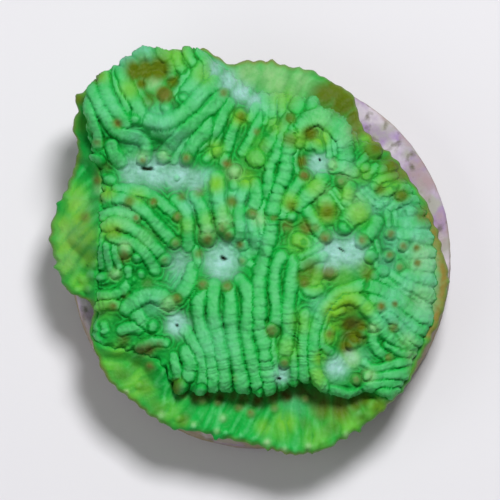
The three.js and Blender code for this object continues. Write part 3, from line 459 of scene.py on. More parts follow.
# Ribs: how wide and high they are against the traced width, and how flat and round on top
RIB_WIDEN = 1.09
RIB_LOW = 0.12
RIB_RISE = 0.4
RIB_FLATNESS = 2.9
RIB_ROUNDNESS = 0.55
# How long a bead is, how strongly plain ribs and chains are beaded, and how uneven their edges are
BEAD_LENGTH = 1.05
RIB_BEADING = 0.09
CHAIN_BEADING = 0.26
WRINKLE = 0.06
RIB_UNEVEN = 0.07
# How far from its end a rib begins to sink, and the share of its height left at the end
END_RUN = 1.1
END_SHARE = 0.66
# How high a knob stands against its radius, and at most
KNOB_RISE = 0.95
KNOB_MOST = 0.72
# The crease where two ribs or knobs meet, sunk in and darkened with painted shade
CREASE_WIDTH = 0.1
CREASE_DEPTH = 0.12
CREASE_FADE = 0.2
CREASE_PAINTED_SHADE = 0.8
# Thin folds between the ribs, side by side with them; their crest share colours their tops paler, partly
# painted highlight
FOLD_SPACING = 0.5
FOLD_RISE = 0.2
FOLD_REACH = 2.4
FOLD_CREST = 0.6
FOLD_WANDER = 0.12
FOLD_GAP = 0.15
# Crest shares where the flesh is smooth and where the ribs are soft
SMOOTH_CREST = 0.45
SOFT_CREST = 0.7


def rib_relief(rib, beading, number, x, y):
    """One rib's height and crest share at plan points, and how far each point is from its edge."""
    width, *points = rib
    distance, along, length = nearest_on_path(smooth_path(points), x, y)
    # The sines' uneven rates keep the beads and wrinkles from repeating
    phase = math.pi * along / BEAD_LENGTH + 1.7 * number
    bead = np.abs(np.sin(phase + 0.5 * np.sin(0.61 * phase + number))) ** 0.6 - 0.7
    wrinkle = WRINKLE * np.sin(5.3 * phase + 2.6 * np.sin(1.3 * phase) + number + 3 * distance)
    radius = RIB_WIDEN * width / 2 * (1 + beading * bead + 0.8 * wrinkle)
    radius *= 1 + RIB_UNEVEN * np.sin(1.9 * along + 2.3 * number)
    profile = np.clip(1 - (distance / radius) ** RIB_FLATNESS, 0, 1) ** RIB_ROUNDNESS
    rise = (RIB_LOW + RIB_RISE * width) * (1 + 1.2 * beading * bead + wrinkle)
    rise *= END_SHARE + (1 - END_SHARE) * np.clip(np.minimum(along, length - along) / END_RUN, 0, 1)
    return rise * profile, profile, distance - radius


def lay_over(surface, at, stands, profile, beyond):
    """Lays one rib or knob over what stands on the surface already, at some of its points."""
    height, lower, crest, gap = surface
    better = stands > height[at]
    lower[at] = np.maximum(lower[at], np.minimum(stands, height[at]))
    height[at] = np.maximum(stands, height[at])
    crest[at] = np.where(better, profile, crest[at])
    gap[at] = np.minimum(gap[at], beyond)


def ribs_and_knobs(x, y):
    """The highest rib or knob at plan points, the next one under it, its crest and the gap to it."""
    height, lower, crest = np.zeros((3, x.size))
    surface = (height, lower, crest, np.full_like(x, FOLD_REACH))
    ribs = [(rib, RIB_BEADING) for rib in SMOOTH_RIBS] + [(rib, CHAIN_BEADING) for rib in BEAD_CHAINS]
    for number, (rib, beading) in enumerate(ribs):
        low = np.min(rib[1:], axis=0) - FOLD_REACH
        high = np.max(rib[1:], axis=0) + FOLD_REACH
        near = np.flatnonzero((x > low[0]) & (x < high[0]) & (y > low[1]) & (y < high[1]))
        lay_over(surface, near, *rib_relief(rib, beading, number, x[near], y[near]))
    for knob_x, knob_y, radius in KNOBS + SLOPE_KNOBS:
        distance = np.hypot(x - knob_x, y - knob_y)
        profile = np.sqrt(np.clip(1 - (distance / radius) ** 2, 0, 1))
        stands = min(KNOB_RISE * radius, KNOB_MOST) * profile
        lay_over(surface, slice(None), stands, profile, distance - radius)
    return surface


def relief(x, y):
    """How far ribs, knobs and folds stand out at plan points, and their crests from 0 to 1; high crests
    colour the flesh paler, partly painted highlight, and low ones darker, partly painted shade.
    """
    height, lower, crest, gap = ribs_and_knobs(x, y)
    crease = np.exp(-(((height - lower) / CREASE_WIDTH) ** 2)) * np.clip(lower / CREASE_FADE, 0, 1)
    height -= CREASE_DEPTH * crease
    # Painted shade: the crest share drops in the crease, so its colour turns dark
    crest *= 1 - CREASE_PAINTED_SHADE * crease
    wander = FOLD_WANDER * wobble(1.4 * x, 1.4 * y)
    fold = 0.5 - 0.5 * np.cos(2 * math.pi * (gap + wander) / FOLD_SPACING)
    smooth = np.maximum(painted(MOUTH_PATCHES, x, y), painted(SMOOTH_PATCHES, x, y))
    fold *= (1 - smooth) * np.clip(gap / FOLD_GAP, 0, 1)
    folded = FOLD_RISE * fold > height
    height = np.where(folded, FOLD_RISE * fold, height)
    crest = np.where(folded, FOLD_CREST * fold, crest)
    crest = np.maximum(crest, SMOOTH_CREST * smooth)
    soft = painted(SOFT_PATCHES, x, y)
    return height * (1 - soft), crest + soft * (SOFT_CREST - crest)


# Folds traced on the skirt: width, then the points that the fold runs through
SKIRT_RIBS = [
    (0.8, (9.9, 19.2), (8.6, 19.6), (7.4, 20.7), (6.3, 22.5)),
    (0.7, (9.8, 20.5), (8.6, 21.1), (7.2, 22.4), (5.9, 24.0)),
    (0.8, (9.8, 21.7), (8.6, 22.6), (7.4, 23.8), (6.0, 25.5)),
    (0.7, (9.9, 23.0), (8.7, 24.2), (7.6, 25.5), (6.4, 27.2)),
    (0.7, (9.8, 24.5), (8.8, 25.8), (7.9, 27.0), (7.2, 28.3)),
    (0.6, (9.7, 26.0), (8.9, 27.4), (8.3, 28.8)),
    (0.6, (8.6, 16.6), (7.6, 17.9), (6.7, 19.6)),
    (0.6, (9.5, 17.8), (8.2, 18.8), (7.0, 20.2)),
    (0.6, (20.6, 42.5), (21.2, 41.0), (21.6, 40.0)),
    (0.6, (21.5, 42.8), (21.9, 41.4), (22.4, 40.2)),
    (0.6, (23.2, 43.0), (23.9, 41.6), (24.8, 40.2)),
    (0.6, (24.4, 43.4), (25.3, 41.6), (26.2, 40.2)),
    (0.6, (25.6, 43.6), (26.3, 42.2), (27.0, 40.6)),
    (0.5, (16.4, 40.4), (16.6, 39.0), (17.4, 37.8)),
    (0.6, (15.6, 38.4), (16.4, 37.2), (17.2, 36.0)),
    (0.5, (17.2, 41.4), (17.4, 40.0), (17.8, 38.6)),
    (0.9, (28.0, 44.8), (28.2, 43.6), (28.0, 42.4)),
    (1.0, (29.6, 44.8), (29.7, 43.6), (29.2, 42.2)),
    (0.8, (31.4, 44.6), (31.8, 43.4), (31.4, 42.0)),
    (0.8, (34.6, 42.8), (34.2, 41.4)),
    (0.9, (35.8, 42.2), (35.3, 41.0), (34.6, 40.2)),
    (1.0, (36.8, 41.2), (37.4, 40.2)),
]
# How high they stand against a rib, how much of the fanned folds shows on them, and their crests
SKIRT_RIB_SHARE = 0.62
FANNED_ON_TRACED = 0.6
TRACED_CREST = 0.3
TRACED_CREST_RISE = 0.5
# Thin folds that fan out over the skirt: how many to the turn, how high, and how much they lean
SKIRT_CENTRE = (25.0, 25.0)
BROAD_FOLDS = 62
BROAD_FOLD_RISE = 0.11
FINE_FOLDS = 176
FINE_FOLD_RISE = 0.05
FOLD_LEAN = 0.027
SWELL_RISE = 0.16
# On the left the traced folds take over, and the fanned ones lose this share
LEFT_CALM = 0.85
# Crest shares of the bare skirt, of its left side besides, and of the fanned folds; higher shares colour the
# flesh paler and lower ones darker, partly painted highlight and shade
SKIRT_CREST = 0.28
LEFT_CREST = 0.08
BROAD_FOLD_CREST = 0.34
FINE_FOLD_CREST = 0.12
SKIRT_KNOB_RISE = 0.85


def skirt_relief(x, y):
    """Knobs and radial folds on the skirt, and their crests from 0 to 1."""
    turn = np.arctan2(y - SKIRT_CENTRE[1], x - SKIRT_CENTRE[0])
    turn -= FOLD_LEAN * np.hypot(y - SKIRT_CENTRE[1], x - SKIRT_CENTRE[0])
    wander = 0.9 * wobble(0.5 * x, 0.5 * y)
    broad = 0.5 + 0.5 * np.sin(BROAD_FOLDS * turn + 2.0 * wander + 1.3 * np.sin(5 * turn))
    fine = 0.5 + 0.5 * np.sin(FINE_FOLDS * turn + 3.0 * wander)
    fanned = 1 - LEFT_CALM * np.clip((11 - x) / 2, 0, 1)
    height = fanned * (BROAD_FOLD_RISE * broad**1.5 + FINE_FOLD_RISE * fine)
    height += SWELL_RISE * wobble(0.55 * x + 0.4 * y, 0.35 * y - 0.3 * x)
    crest = SKIRT_CREST + LEFT_CREST * (1 - fanned)
    crest += fanned * (BROAD_FOLD_CREST * broad + FINE_FOLD_CREST * fine)
    for number, rib in enumerate(SKIRT_RIBS):
        stands, profile, _ = rib_relief(rib, RIB_BEADING, number, x, y)
        traced = SKIRT_RIB_SHARE * stands + FANNED_ON_TRACED * height * (profile > 0)
        height = np.maximum(height, traced)
        traced_crest = np.maximum(crest, TRACED_CREST + TRACED_CREST_RISE * profile)
        crest = np.where(profile > 0.1, traced_crest, crest)
    for knob_x, knob_y, radius in SKIRT_KNOBS:
        distance = np.hypot(x - knob_x, y - knob_y) / radius
        profile = np.sqrt(np.clip(1 - distance**2, 0, 1))
        height = np.maximum(height, SKIRT_KNOB_RISE * radius * profile)
        crest = np.maximum(crest, profile)
    return height, crest


# Mouths: the slit's plan x, y, half length, half width and turn in degrees
MOUTH_SLITS = [
    (14.78, 16.95, 0.62, 0.19, 4), (22.35, 25.8, 0.34, 0.16, 32), (17.75, 32.5, 0.15, 0.12, 0),
    (34.1, 25.0, 0.4, 0.07, 35), (31.95, 16.05, 0.13, 0.09, 60), (27.9, 37.8, 0.17, 0.11, 0),
]
SLIT_DEPTH = 0.5


def slit(x, y):
    """How deep in a mouth slit plan points are, 0 outside to 1 inside."""
    depth = np.zeros_like(x)
    for slit_x, slit_y, half_length, half_width, turn in MOUTH_SLITS:
        turn = math.radians(turn)
        across = (x - slit_x) * math.cos(turn) + (y - slit_y) * math.sin(turn)
        over = (y - slit_y) * math.cos(turn) - (x - slit_x) * math.sin(turn)
        distance = np.hypot(across / half_length, over / half_width)
        depth = np.maximum(depth, np.clip((1.35 - distance) / 0.7, 0, 1))
    return depth


# More patches, by tint, again as x, y, radius and strength
BROWN_PATCHES = [
    (20.8, 24.0, 0.6, 1.0), (22.3, 22.9, 0.5, 0.8), (22.8, 23.6, 0.5, 0.9), (25.2, 21.4, 0.5, 0.9),
    (24.0, 24.5, 0.4, 0.9), (17.8, 21.7, 0.45, 0.9), (17.6, 24.3, 0.45, 0.7), (16.5, 26.0, 0.4, 0.5),
    (17.8, 29.8, 0.5, 0.9), (15.4, 20.2, 0.45, 1.0), (20.3, 28.4, 0.5, 0.9), (22.7, 28.6, 0.5, 0.9),
    (27.2, 33.0, 0.6, 0.9), (28.4, 36.2, 0.45, 0.9), (30.4, 17.6, 0.55, 1.0), (32.5, 23.8, 0.6, 0.9),
    (36.2, 24.0, 0.5, 0.9), (30.4, 28.3, 0.4, 0.9), (34.1, 18.2, 0.5, 0.8), (18.7, 15.9, 0.5, 0.9),
    (22.4, 9.3, 0.45, 0.8), (11.8, 12.4, 0.5, 1.0), (11.4, 30.6, 0.4, 0.8), (9.8, 18.0, 0.5, 0.9),
    (15.0, 36.6, 0.5, 0.9), (12.5, 25.6, 0.6, 0.9), (20.3, 39.9, 0.5, 0.9), (21.8, 40.1, 0.4, 0.9),
    (23.9, 40.6, 0.45, 0.9), (25.1, 41.2, 0.45, 0.9), (27.4, 40.7, 0.4, 0.8), (30.5, 39.7, 0.45, 0.8),
    (32.9, 33.3, 0.45, 0.9), (39.0, 23.4, 0.45, 0.9), (38.9, 25.5, 0.4, 0.9), (40.3, 24.6, 0.45, 0.8),
    (41.6, 24.8, 0.4, 0.9), (41.7, 26.3, 0.4, 0.9), (39.9, 26.7, 0.4, 0.9), (39.4, 30.4, 0.35, 0.8),
    (38.0, 30.6, 0.5, 0.9), (39.2, 32.7, 0.5, 0.9), (38.8, 35.7, 0.4, 0.9), (16.5, 9.6, 0.8, 0.9),
    (30.6, 22.9, 0.5, 0.8), (35.4, 13.0, 1.0, 0.9), (8.6, 21.7, 0.5, 0.7), (35.5, 37.8, 0.5, 0.7),
    (14.6, 34.9, 0.8, 0.7), (42.5, 21.5, 1.0, 1.0), (22.7, 16.4, 0.5, 0.9), (25.7, 13.2, 0.4, 0.7),
    (14.3, 16.1, 0.35, 0.7), (13.7, 21.8, 0.35, 0.8), (24.2, 26.1, 0.35, 0.6), (23.5, 37.6, 0.3, 0.3),
    (9.9, 14.4, 0.4, 0.6), (40.0, 17.4, 1.0, 0.9), (27.4, 21.8, 0.35, 0.7), (28.7, 22.6, 0.6, 0.7),
]
OLIVE_PATCHES = [
    (13.6, 7.2, 1.0, 1.0), (14.6, 7.1, 1.2, 1.0), (15.9, 7.0, 1.3, 1.0), (14.2, 8.4, 0.6, 0.9),
    (15.0, 10.0, 0.8, 0.5), (16.4, 9.4, 0.8, 1.0), (17.3, 8.2, 0.7, 0.8), (31.0, 13.4, 0.8, 0.9),
    (30.2, 16.2, 0.6, 0.9), (30.5, 22.6, 0.8, 0.6), (32.7, 21.2, 0.9, 0.8), (32.8, 27.2, 0.8, 1.0),
    (31.0, 26.8, 1.1, 0.6), (30.4, 27.8, 0.9, 0.6), (34.8, 32.4, 0.8, 1.0), (35.4, 33.6, 1.0, 1.0),
    (36.0, 32.6, 0.7, 0.9), (34.6, 34.6, 0.8, 1.0), (32.6, 9.4, 1.5, 0.9), (34.4, 10.2, 1.6, 1.0),
    (33.6, 9.0, 1.3, 1.0), (35.5, 11.6, 1.1, 0.9), (33.6, 11.2, 1.1, 0.8), (37.3, 15.0, 1.0, 0.9),
    (38.9, 16.6, 1.0, 0.9),
    (23.2, 20.2, 0.6, 0.8), (24.1, 11.7, 0.6, 0.7), (29.0, 11.9, 0.6, 0.7), (34.8, 30.8, 0.9, 0.5),
    (36.7, 27.4, 0.7, 0.6), (13.0, 20.2, 0.6, 0.7), (18.2, 19.7, 0.5, 0.6), (19.9, 19.2, 0.6, 0.6),
    (28.9, 14.0, 0.8, 0.6), (9.8, 8.0, 0.8, 0.6), (7.9, 9.9, 0.7, 0.8), (7.4, 15.6, 0.8, 0.7),
    (10.4, 20.0, 0.5, 0.5), (40.0, 19.6, 0.7, 0.8), (38.0, 19.0, 0.6, 0.6), (37.8, 40.4, 0.9, 0.6),
    # The spots on the next line lie in front under the lip: partly the flesh's own olive, partly painted
    # shade
    (32.2, 40.8, 1.3, 0.7), (34.0, 40.9, 1.2, 0.8), (35.4, 40.4, 0.9, 0.7), (36.4, 39.9, 0.8, 0.7),
    (17.9, 38.2, 0.7, 0.7), (31.5, 22.8, 0.5, 0.6), (29.1, 20.6, 0.6, 0.6), (19.9, 25.4, 0.5, 0.6),
    (11.6, 23.2, 0.7, 0.4),
    (12.2, 37.4, 1.0, 0.4), (14.6, 38.6, 0.9, 0.35), (13.6, 36.2, 0.8, 0.35), (15.6, 40.6, 0.9, 0.4),
    (18.4, 41.9, 0.7, 0.45), (33.0, 42.6, 1.0, 0.4), (36.2, 41.6, 0.9, 0.45), (30.6, 42.2, 0.8, 0.3),
]
YELLOW_PATCHES = [
    (25.4, 16.0, 1.3, 0.4), (26.0, 14.6, 1.0, 0.4), (21.6, 15.0, 0.9, 0.7), (24.0, 11.8, 0.9, 0.8),
    (11.4, 23.0, 1.0, 0.7), (11.0, 19.4, 0.7, 0.7), (13.8, 19.6, 0.9, 0.5), (30.0, 14.0, 1.0, 0.7),
    (32.0, 13.8, 1.0, 0.8), (31.4, 18.6, 1.0, 0.6), (29.0, 20.2, 0.9, 0.7), (32.6, 21.2, 1.2, 0.8),
    (34.6, 19.4, 0.9, 0.6), (35.8, 21.4, 1.2, 0.7), (34.0, 27.4, 1.4, 0.7), (36.2, 26.6, 0.9, 0.8),
    (34.6, 30.2, 1.6, 0.8), (33.4, 31.8, 1.0, 0.8), (33.0, 33.6, 0.8, 0.7), (35.0, 35.6, 0.9, 0.9),
    (36.6, 30.8, 0.8, 0.6), (31.8, 37.4, 0.9, 0.6), (30.0, 32.2, 1.2, 0.4), (28.8, 34.8, 1.2, 0.4),
    (29.8, 24.2, 1.2, 0.6), (31.6, 28.0, 1.2, 0.6), (10.4, 7.9, 0.7, 0.7), (13.0, 9.0, 1.0, 0.6),
    (17.6, 5.6, 1.5, 0.6), (20.4, 7.4, 1.2, 0.5), (7.2, 24.4, 1.6, 0.9), (6.4, 22.6, 1.3, 0.8),
    (8.0, 22.0, 1.2, 0.9), (6.6, 26.4, 1.3, 0.7), (7.6, 19.4, 1.2, 0.6), (8.0, 28.2, 1.2, 0.6),
    (8.0, 12.4, 0.9, 0.5), (11.0, 36.4, 1.6, 0.5), (13.4, 38.8, 1.4, 0.6), (12.0, 35.2, 1.2, 0.5),
    (17.0, 41.2, 1.4, 0.4), (35.0, 42.4, 1.6, 0.6), (37.6, 40.8, 1.3, 0.7), (31.6, 43.8, 1.5, 0.5),
    (28.0, 42.8, 1.4, 0.4), (22.4, 21.0, 0.7, 0.3), (20.8, 22.0, 0.8, 0.4), (18.6, 22.6, 0.8, 0.4),
    (7.6, 20.6, 1.2, 0.8), (6.2, 24.8, 1.0, 0.8), (8.6, 23.6, 1.3, 0.8), (8.8, 25.8, 1.1, 0.7),
    (13.8, 37.8, 1.3, 0.6), (14.8, 39.2, 1.0, 0.5), (28.5, 42.2, 1.2, 0.7), (18.0, 42.0, 0.8, 0.5),
    (33.4, 31.0, 1.2, 0.9), (34.4, 30.4, 1.2, 0.9), (33.6, 32.6, 0.8, 0.8), (32.0, 35.8, 0.8, 0.7),
    (34.0, 41.8, 1.2, 0.6), (41.0, 37.0, 0.6, 0.6), (26.4, 42.6, 0.9, 0.6), (9.4, 35.6, 0.8, 0.6),
    (21.6, 18.4, 0.9, 0.8), (24.6, 17.8, 1.0, 0.8), (28.2, 9.8, 1.5, 0.6), (37.0, 13.6, 1.5, 0.7),
    (38.6, 18.4, 1.3, 0.6), (36.4, 17.4, 1.0, 0.5), (27.6, 12.6, 1.0, 0.5), (10.6, 30.6, 1.2, 0.5),
]
EMERALD_PATCHES = [
    (26.0, 15.4, 1.1, 0.6), (16.2, 36.8, 1.1, 0.8), (15.2, 12.9, 1.5, 0.9), (12.8, 15.0, 1.4, 0.9),
    (12.0, 13.2, 0.7, 0.8), (13.4, 11.6, 0.8, 0.7),
    (20.2, 16.6, 1.0, 0.6), (20.8, 11.2, 1.0, 0.7), (26.4, 13.8, 0.9, 0.7), (22.9, 19.6, 0.7, 0.9),
    (20.4, 19.8, 0.8, 0.7), (16.0, 21.4, 0.8, 0.6), (15.2, 23.2, 0.7, 0.6), (13.4, 23.8, 0.8, 0.6),
    (27.2, 25.0, 0.8, 0.6), (25.6, 27.2, 0.9, 0.6), (31.6, 31.2, 1.0, 0.7), (31.8, 35.6, 1.0, 0.9),
    (33.6, 33.0, 0.8, 0.8), (37.2, 29.2, 0.9, 0.7), (39.4, 21.6, 1.0, 0.6), (40.4, 26.0, 0.9, 0.5),
    (36.2, 22.6, 0.8, 0.7), (35.6, 25.6, 0.6, 0.5), (29.0, 17.0, 0.6, 0.7), (29.6, 22.4, 0.8, 0.5),
    (20.0, 27.0, 0.9, 0.6), (14.4, 28.2, 1.1, 0.7), (12.2, 28.0, 1.2, 0.7), (10.6, 26.8, 0.9, 0.5),
    (19.4, 31.6, 0.8, 0.5), (24.0, 31.0, 0.8, 0.3), (11.4, 17.2, 1.0, 0.8), (9.4, 16.6, 0.9, 0.8),
    (23.4, 41.8, 1.4, 0.8), (20.4, 41.2, 1.1, 0.7), (17.2, 38.8, 1.1, 0.7), (30.0, 43.4, 1.0, 0.7),
    (32.2, 43.0, 0.9, 0.6), (38.4, 39.4, 0.8, 0.9), (37.2, 40.2, 0.8, 0.9), (17.0, 41.0, 0.8, 0.6),
    (22.6, 39.6, 2.0, 0.5), (28.0, 40.0, 2.0, 0.5), (17.4, 39.8, 1.5, 0.5), (30.6, 33.0, 0.7, 0.6),
]
TEAL_PATCHES = [
    (42.6, 26.0, 1.6, 0.9), (43.0, 28.2, 1.5, 0.8), (42.0, 23.6, 1.4, 0.8), (41.0, 25.0, 1.4, 0.6),
    (42.4, 30.8, 1.5, 0.7), (38.4, 20.2, 1.3, 0.5), (37.4, 20.6, 1.0, 0.6), (40.8, 22.4, 1.2, 0.5),
    (36.0, 35.6, 1.0, 0.4), (12.8, 6.0, 1.2, 0.8), (14.6, 5.6, 1.0, 0.8), (16.0, 12.0, 1.6, 0.5),
    (19.6, 9.2, 1.4, 0.3), (10.8, 10.6, 1.4, 0.3), (13.6, 14.0, 1.2, 0.5), (17.6, 14.0, 1.3, 0.4),
    (21.6, 34.0, 2.4, 0.3), (23.6, 25.0, 1.3, 0.4), (25.4, 24.0, 1.2, 0.4), (20.8, 17.6, 0.8, 0.7),
    (32.0, 30.6, 1.2, 0.5), (19.0, 20.4, 1.0, 0.5), (15.4, 30.2, 1.4, 0.4), (29.4, 40.4, 1.2, 0.3),
    (27.2, 10.2, 1.3, 0.6), (39.4, 29.8, 1.3, 0.5), (17.6, 28.0, 1.0, 0.4), (24.0, 19.6, 1.0, 0.4),
    (39.6, 24.0, 1.6, 0.6), (40.6, 21.4, 1.4, 0.6), (36.6, 19.4, 1.1, 0.5), (38.8, 31.4, 1.4, 0.5),
    (40.6, 32.6, 1.2, 0.5), (38.8, 26.4, 1.3, 0.5), (41.0, 28.4, 1.4, 0.6), (22.0, 19.8, 1.2, 0.4),
    (25.0, 22.6, 1.2, 0.45), (12.8, 20.6, 1.3, 0.3), (33.8, 14.4, 1.1, 0.35), (34.6, 16.6, 1.0, 0.35),
]
PALE_PATCHES = [
    (24.8, 7.2, 1.6, 0.7), (27.4, 7.6, 1.8, 0.75), (30.0, 8.2, 1.5, 0.65),
    (23.4, 17.3, 0.8, 0.8), (20.8, 23.3, 0.9, 0.5), (22.4, 22.2, 0.9, 0.5), (15.2, 8.3, 0.9, 0.8),
    (33.2, 16.6, 0.6, 0.7), (37.3, 32.8, 0.6, 0.7), (36.9, 37.4, 0.7, 0.6), (35.1, 35.8, 0.8, 0.6),
    (25.9, 22.0, 0.7, 0.6), (9.9, 18.9, 0.6, 0.4), (12.6, 24.6, 0.7, 0.6), (11.6, 27.4, 0.6, 0.6),
    (42.4, 25.8, 1.8, 0.5), (42.4, 29.8, 1.8, 0.45), (41.0, 35.4, 0.8, 0.5), (40.6, 34.0, 0.9, 0.4),
    (19.4, 42.3, 0.3, 0.6), (21.7, 43.0, 0.3, 0.7), (28.4, 44.9, 0.35, 0.8), (30.8, 44.5, 0.35, 0.8),
    (34.6, 43.4, 0.35, 0.8), (26.7, 44.1, 0.4, 0.8), (22.3, 41.7, 0.4, 0.6), (16.2, 41.4, 0.4, 0.7),
    (16.4, 15.7, 0.6, 0.6), (14.3, 15.8, 0.7, 0.5), (16.9, 30.4, 0.8, 0.6), (12.7, 39.1, 0.25, 1.0),
    (7.2, 23.4, 1.6, 0.3), (6.8, 26.0, 1.4, 0.3), (8.2, 20.4, 1.2, 0.25), (31.6, 12.4, 1.3, 0.3),
    (34.6, 13.8, 1.0, 0.3), (34.6, 17.4, 1.0, 0.35), (35.6, 20.4, 1.3, 0.3), (32.2, 19.4, 1.0, 0.3),
    (12.6, 21.8, 1.2, 0.25), (14.6, 23.8, 1.0, 0.25), (29.8, 9.4, 0.9, 0.4),
]
# Rusty spots on the mound's rim; the skirt's rust follows a stretch of its rim, on the right
RUST_PATCHES = [
    (41.0, 37.4, 0.5, 0.6), (39.4, 39.4, 0.5, 0.6), (7.6, 9.6, 0.5, 0.7), (19.0, 4.6, 0.4, 0.6),
]
RUST_RIM = [
    (42.7, 21.9), (43.5, 23.8), (44.0, 25.5), (44.3, 27.0), (44.3, 28.6), (44.1, 30.2), (43.6, 31.6),
    (42.9, 33.2),
]
RUST_WIDTH = 0.7
# Painted shade: dark olive spots under the front lip between the rib ends, in the cup's hollow and in gaps
# beside ribs and knobs
PAINTED_SHADE_PATCHES = [
    (18.4, 39.3, 0.6, 0.7), (19.6, 39.6, 0.6, 0.9), (20.9, 39.4, 0.6, 0.9), (22.0, 39.5, 0.6, 0.9),
    (23.2, 39.5, 0.6, 0.8), (24.4, 39.8, 0.7, 0.9), (25.8, 39.9, 0.8, 0.9), (27.2, 39.6, 0.8, 0.9),
    (28.6, 39.4, 0.8, 0.9), (30.0, 39.0, 0.9, 0.9), (31.2, 39.4, 1.0, 0.8), (32.4, 40.0, 0.8, 0.6),
    (34.0, 40.0, 0.9, 0.7), (35.6, 39.9, 0.8, 0.6), (17.6, 38.6, 0.5, 0.5),
    (14.2, 34.9, 0.6, 0.8), (15.2, 34.7, 0.6, 0.8), (16.0, 34.4, 0.5, 0.6), (12.4, 33.9, 0.6, 0.6),
    (12.6, 29.5, 0.4, 0.5), (9.2, 30.4, 0.5, 0.5), (10.0, 17.2, 0.5, 0.6), (10.8, 16.8, 0.5, 0.6),
    (35.2, 32.2, 0.8, 0.9), (34.5, 33.5, 0.6, 0.7), (36.2, 33.9, 0.5, 0.5), (14.8, 28.3, 0.6, 0.5),
]
TINT_PATCHES = {
    "mouth": MOUTH_PATCHES, "brown": BROWN_PATCHES, "olive": OLIVE_PATCHES, "yellow": YELLOW_PATCHES,
    "emerald": EMERALD_PATCHES, "teal": TEAL_PATCHES, "pale": PALE_PATCHES, "rust": RUST_PATCHES,
    "shade": PAINTED_SHADE_PATCHES,
}
# How much of the mouths' tint a full crest takes away
MOUTH_CREST_LOSS = 0.6


def paint(piece, x, y, bare, **shares):
    """Keeps on each point its crest and edge shares, and how much of each tint it has."""
    shares["slit"] = slit(x, y)
    for name, patches in TINT_PATCHES.items():
        shares[name] = painted(patches, x, y) * (1 - bare)
    shares["mouth"] *= 1 - MOUTH_CREST_LOSS * shares["crest"]
    for name, share in shares.items():
        layer = piece.data.attributes.new(name, "FLOAT", "POINT")
        layer.data.foreach_set("value", share.astype(np.float32))


# The mound: a square sheet, its edge drawn down into a lip, pressed out to the mound's outline
MOUND_CENTRE = (25.5, 24.0)
MOUND_RINGS = 130
RING_SPREAD = 1.25
# Its rim: how round it is, how far it stays in from the outline, and how far ribs stand out there
RIM_ROUND = 1.3
RIM_BACK = 0.35
RIM_STANDS = 1.35
# Its wall, then the hidden steps back under the lip: shares of the way out, and heights
WALL_STEPS = 4
LIP_STEPS = 7
WALL_FOOT_SHARE = 0.985
FOOT_SHARE = 0.86
LIP_THICKNESS = 2.1
MOUND_FOOT = 0.3
# How much further out the wall's foot reaches on the left, and what a rib loses at each step down
SLOPE_REACH = 0.05
RIB_FADE = 0.2
# How bare of tints the wall is in front; behind it is all bare
FRONT_BARE = 0.3
# Fine upright ridges on the wall; their crest share colours them paler on top, partly painted highlight
WALL_COSTAE = 84
COSTA_RISE = 0.3
COSTA_CREST = 0.9


def rim_of(outline):
    """Makes a function of 0 to 1 that runs anticlockwise round an outline, from its lower right."""
    curve = smooth_path(outline, closed=True)[::-1]
    first = np.argmax(curve[:, 0] + curve[:, 1])
    curve = np.roll(curve, -first, axis=0)
    curve = np.vstack([curve, curve[0]])
    walked = np.r_[0, np.cumsum(np.linalg.norm(np.diff(curve, axis=0), axis=1))]
    walked /= walked[-1]
    return lambda t: (np.interp(t, walked, curve[:, 0]), np.interp(t, walked, curve[:, 1]))


def rim_drop(inset, radius):
    """How far a rounded rim has dropped at a distance in from the outline."""
    short = np.clip(radius - inset, 0, radius)
    return radius - np.sqrt(radius**2 - short**2)


def mesh_points(piece):
    """The mesh's points as an array."""
    points = np.empty(len(piece.data.vertices) * 3)
    piece.data.vertices.foreach_get("co", points)
    return points.reshape(-1, 3)


def set_mesh_points(piece, points):
    """Moves the mesh's points."""
    piece.data.vertices.foreach_set("co", points.ravel())
    piece.data.update()


def draw_rings(steps):
    """Extrudes the open edge of the piece in edit mode a number of times, then closes it."""
    bpy.ops.mesh.select_mode(type="EDGE")
    bpy.ops.mesh.select_all(action="DESELECT")
    bpy.ops.mesh.select_non_manifold(extend=False)
    for _ in range(steps):
        bpy.ops.mesh.extrude_edges_move()
    bpy.ops.mesh.edge_face_add()
    bpy.ops.object.mode_set(mode="OBJECT")


def outward_faces(piece):
    """Turns the piece's faces to point outwards."""
    bpy.context.view_layer.objects.active = piece
    bpy.ops.object.mode_set(mode="EDIT")
    bpy.ops.mesh.select_all(action="SELECT")
    bpy.ops.mesh.normals_make_consistent(inside=False)
    bpy.ops.object.mode_set(mode="OBJECT")


def apply_modifier(piece, modifier):
    """Applies one of the piece's modifiers."""
    bpy.context.view_layer.objects.active = piece
    bpy.ops.object.modifier_apply(modifier=modifier.name)


# Fine lumps in the flesh: texture size, strength in millimetres and depth of the noise
FLESH_LUMPS = [("swells", 0.9, 0.22, 1), ("papillae", 0.38, 0.2, 1), ("grain", 0.18, 0.08, 1)]


def roughen(piece, lump_kinds, share=1.0, only=""):
    """Presses lumps into the piece, at a share of their strength, where a vertex group allows."""
    for name, size, strength, depth in lump_kinds:
        lumps = bpy.data.textures.new(name, "CLOUDS")
        lumps.noise_scale = size
        lumps.noise_depth = depth
        swell = piece.modifiers.new(name, "DISPLACE")
        swell.texture = lumps
        swell.texture_coords = "LOCAL"
        swell.strength = share * strength
        swell.vertex_group = only
        apply_modifier(piece, swell)


def drawn_sheet():
    """A square sheet whose edge is drawn down in steps and closed, still to be shaped."""
    cuts = 2 * MOUND_RINGS
    bpy.ops.mesh.primitive_grid_add(x_subdivisions=cuts, y_subdivisions=cuts, size=cuts)
    sheet = bpy.context.object
    bpy.ops.object.mode_set(mode="EDIT")
    draw_rings(LIP_STEPS)
    return sheet


def square_turns(across, up):
    """Which square ring of the sheet each point lies on, and how far round it, from 0 to 1."""
    ring = np.maximum(np.abs(across), np.abs(up))
    safe = np.maximum(ring, 1e-9)
    side = np.select(
        [across >= ring - 1e-4, up >= ring - 1e-4, across <= 1e-4 - ring],
        [(up + ring) / safe, 2 + (ring - across) / safe, 4 + (ring - up) / safe],
        6 + (across + ring) / safe,
    )
    return ring, side / 8


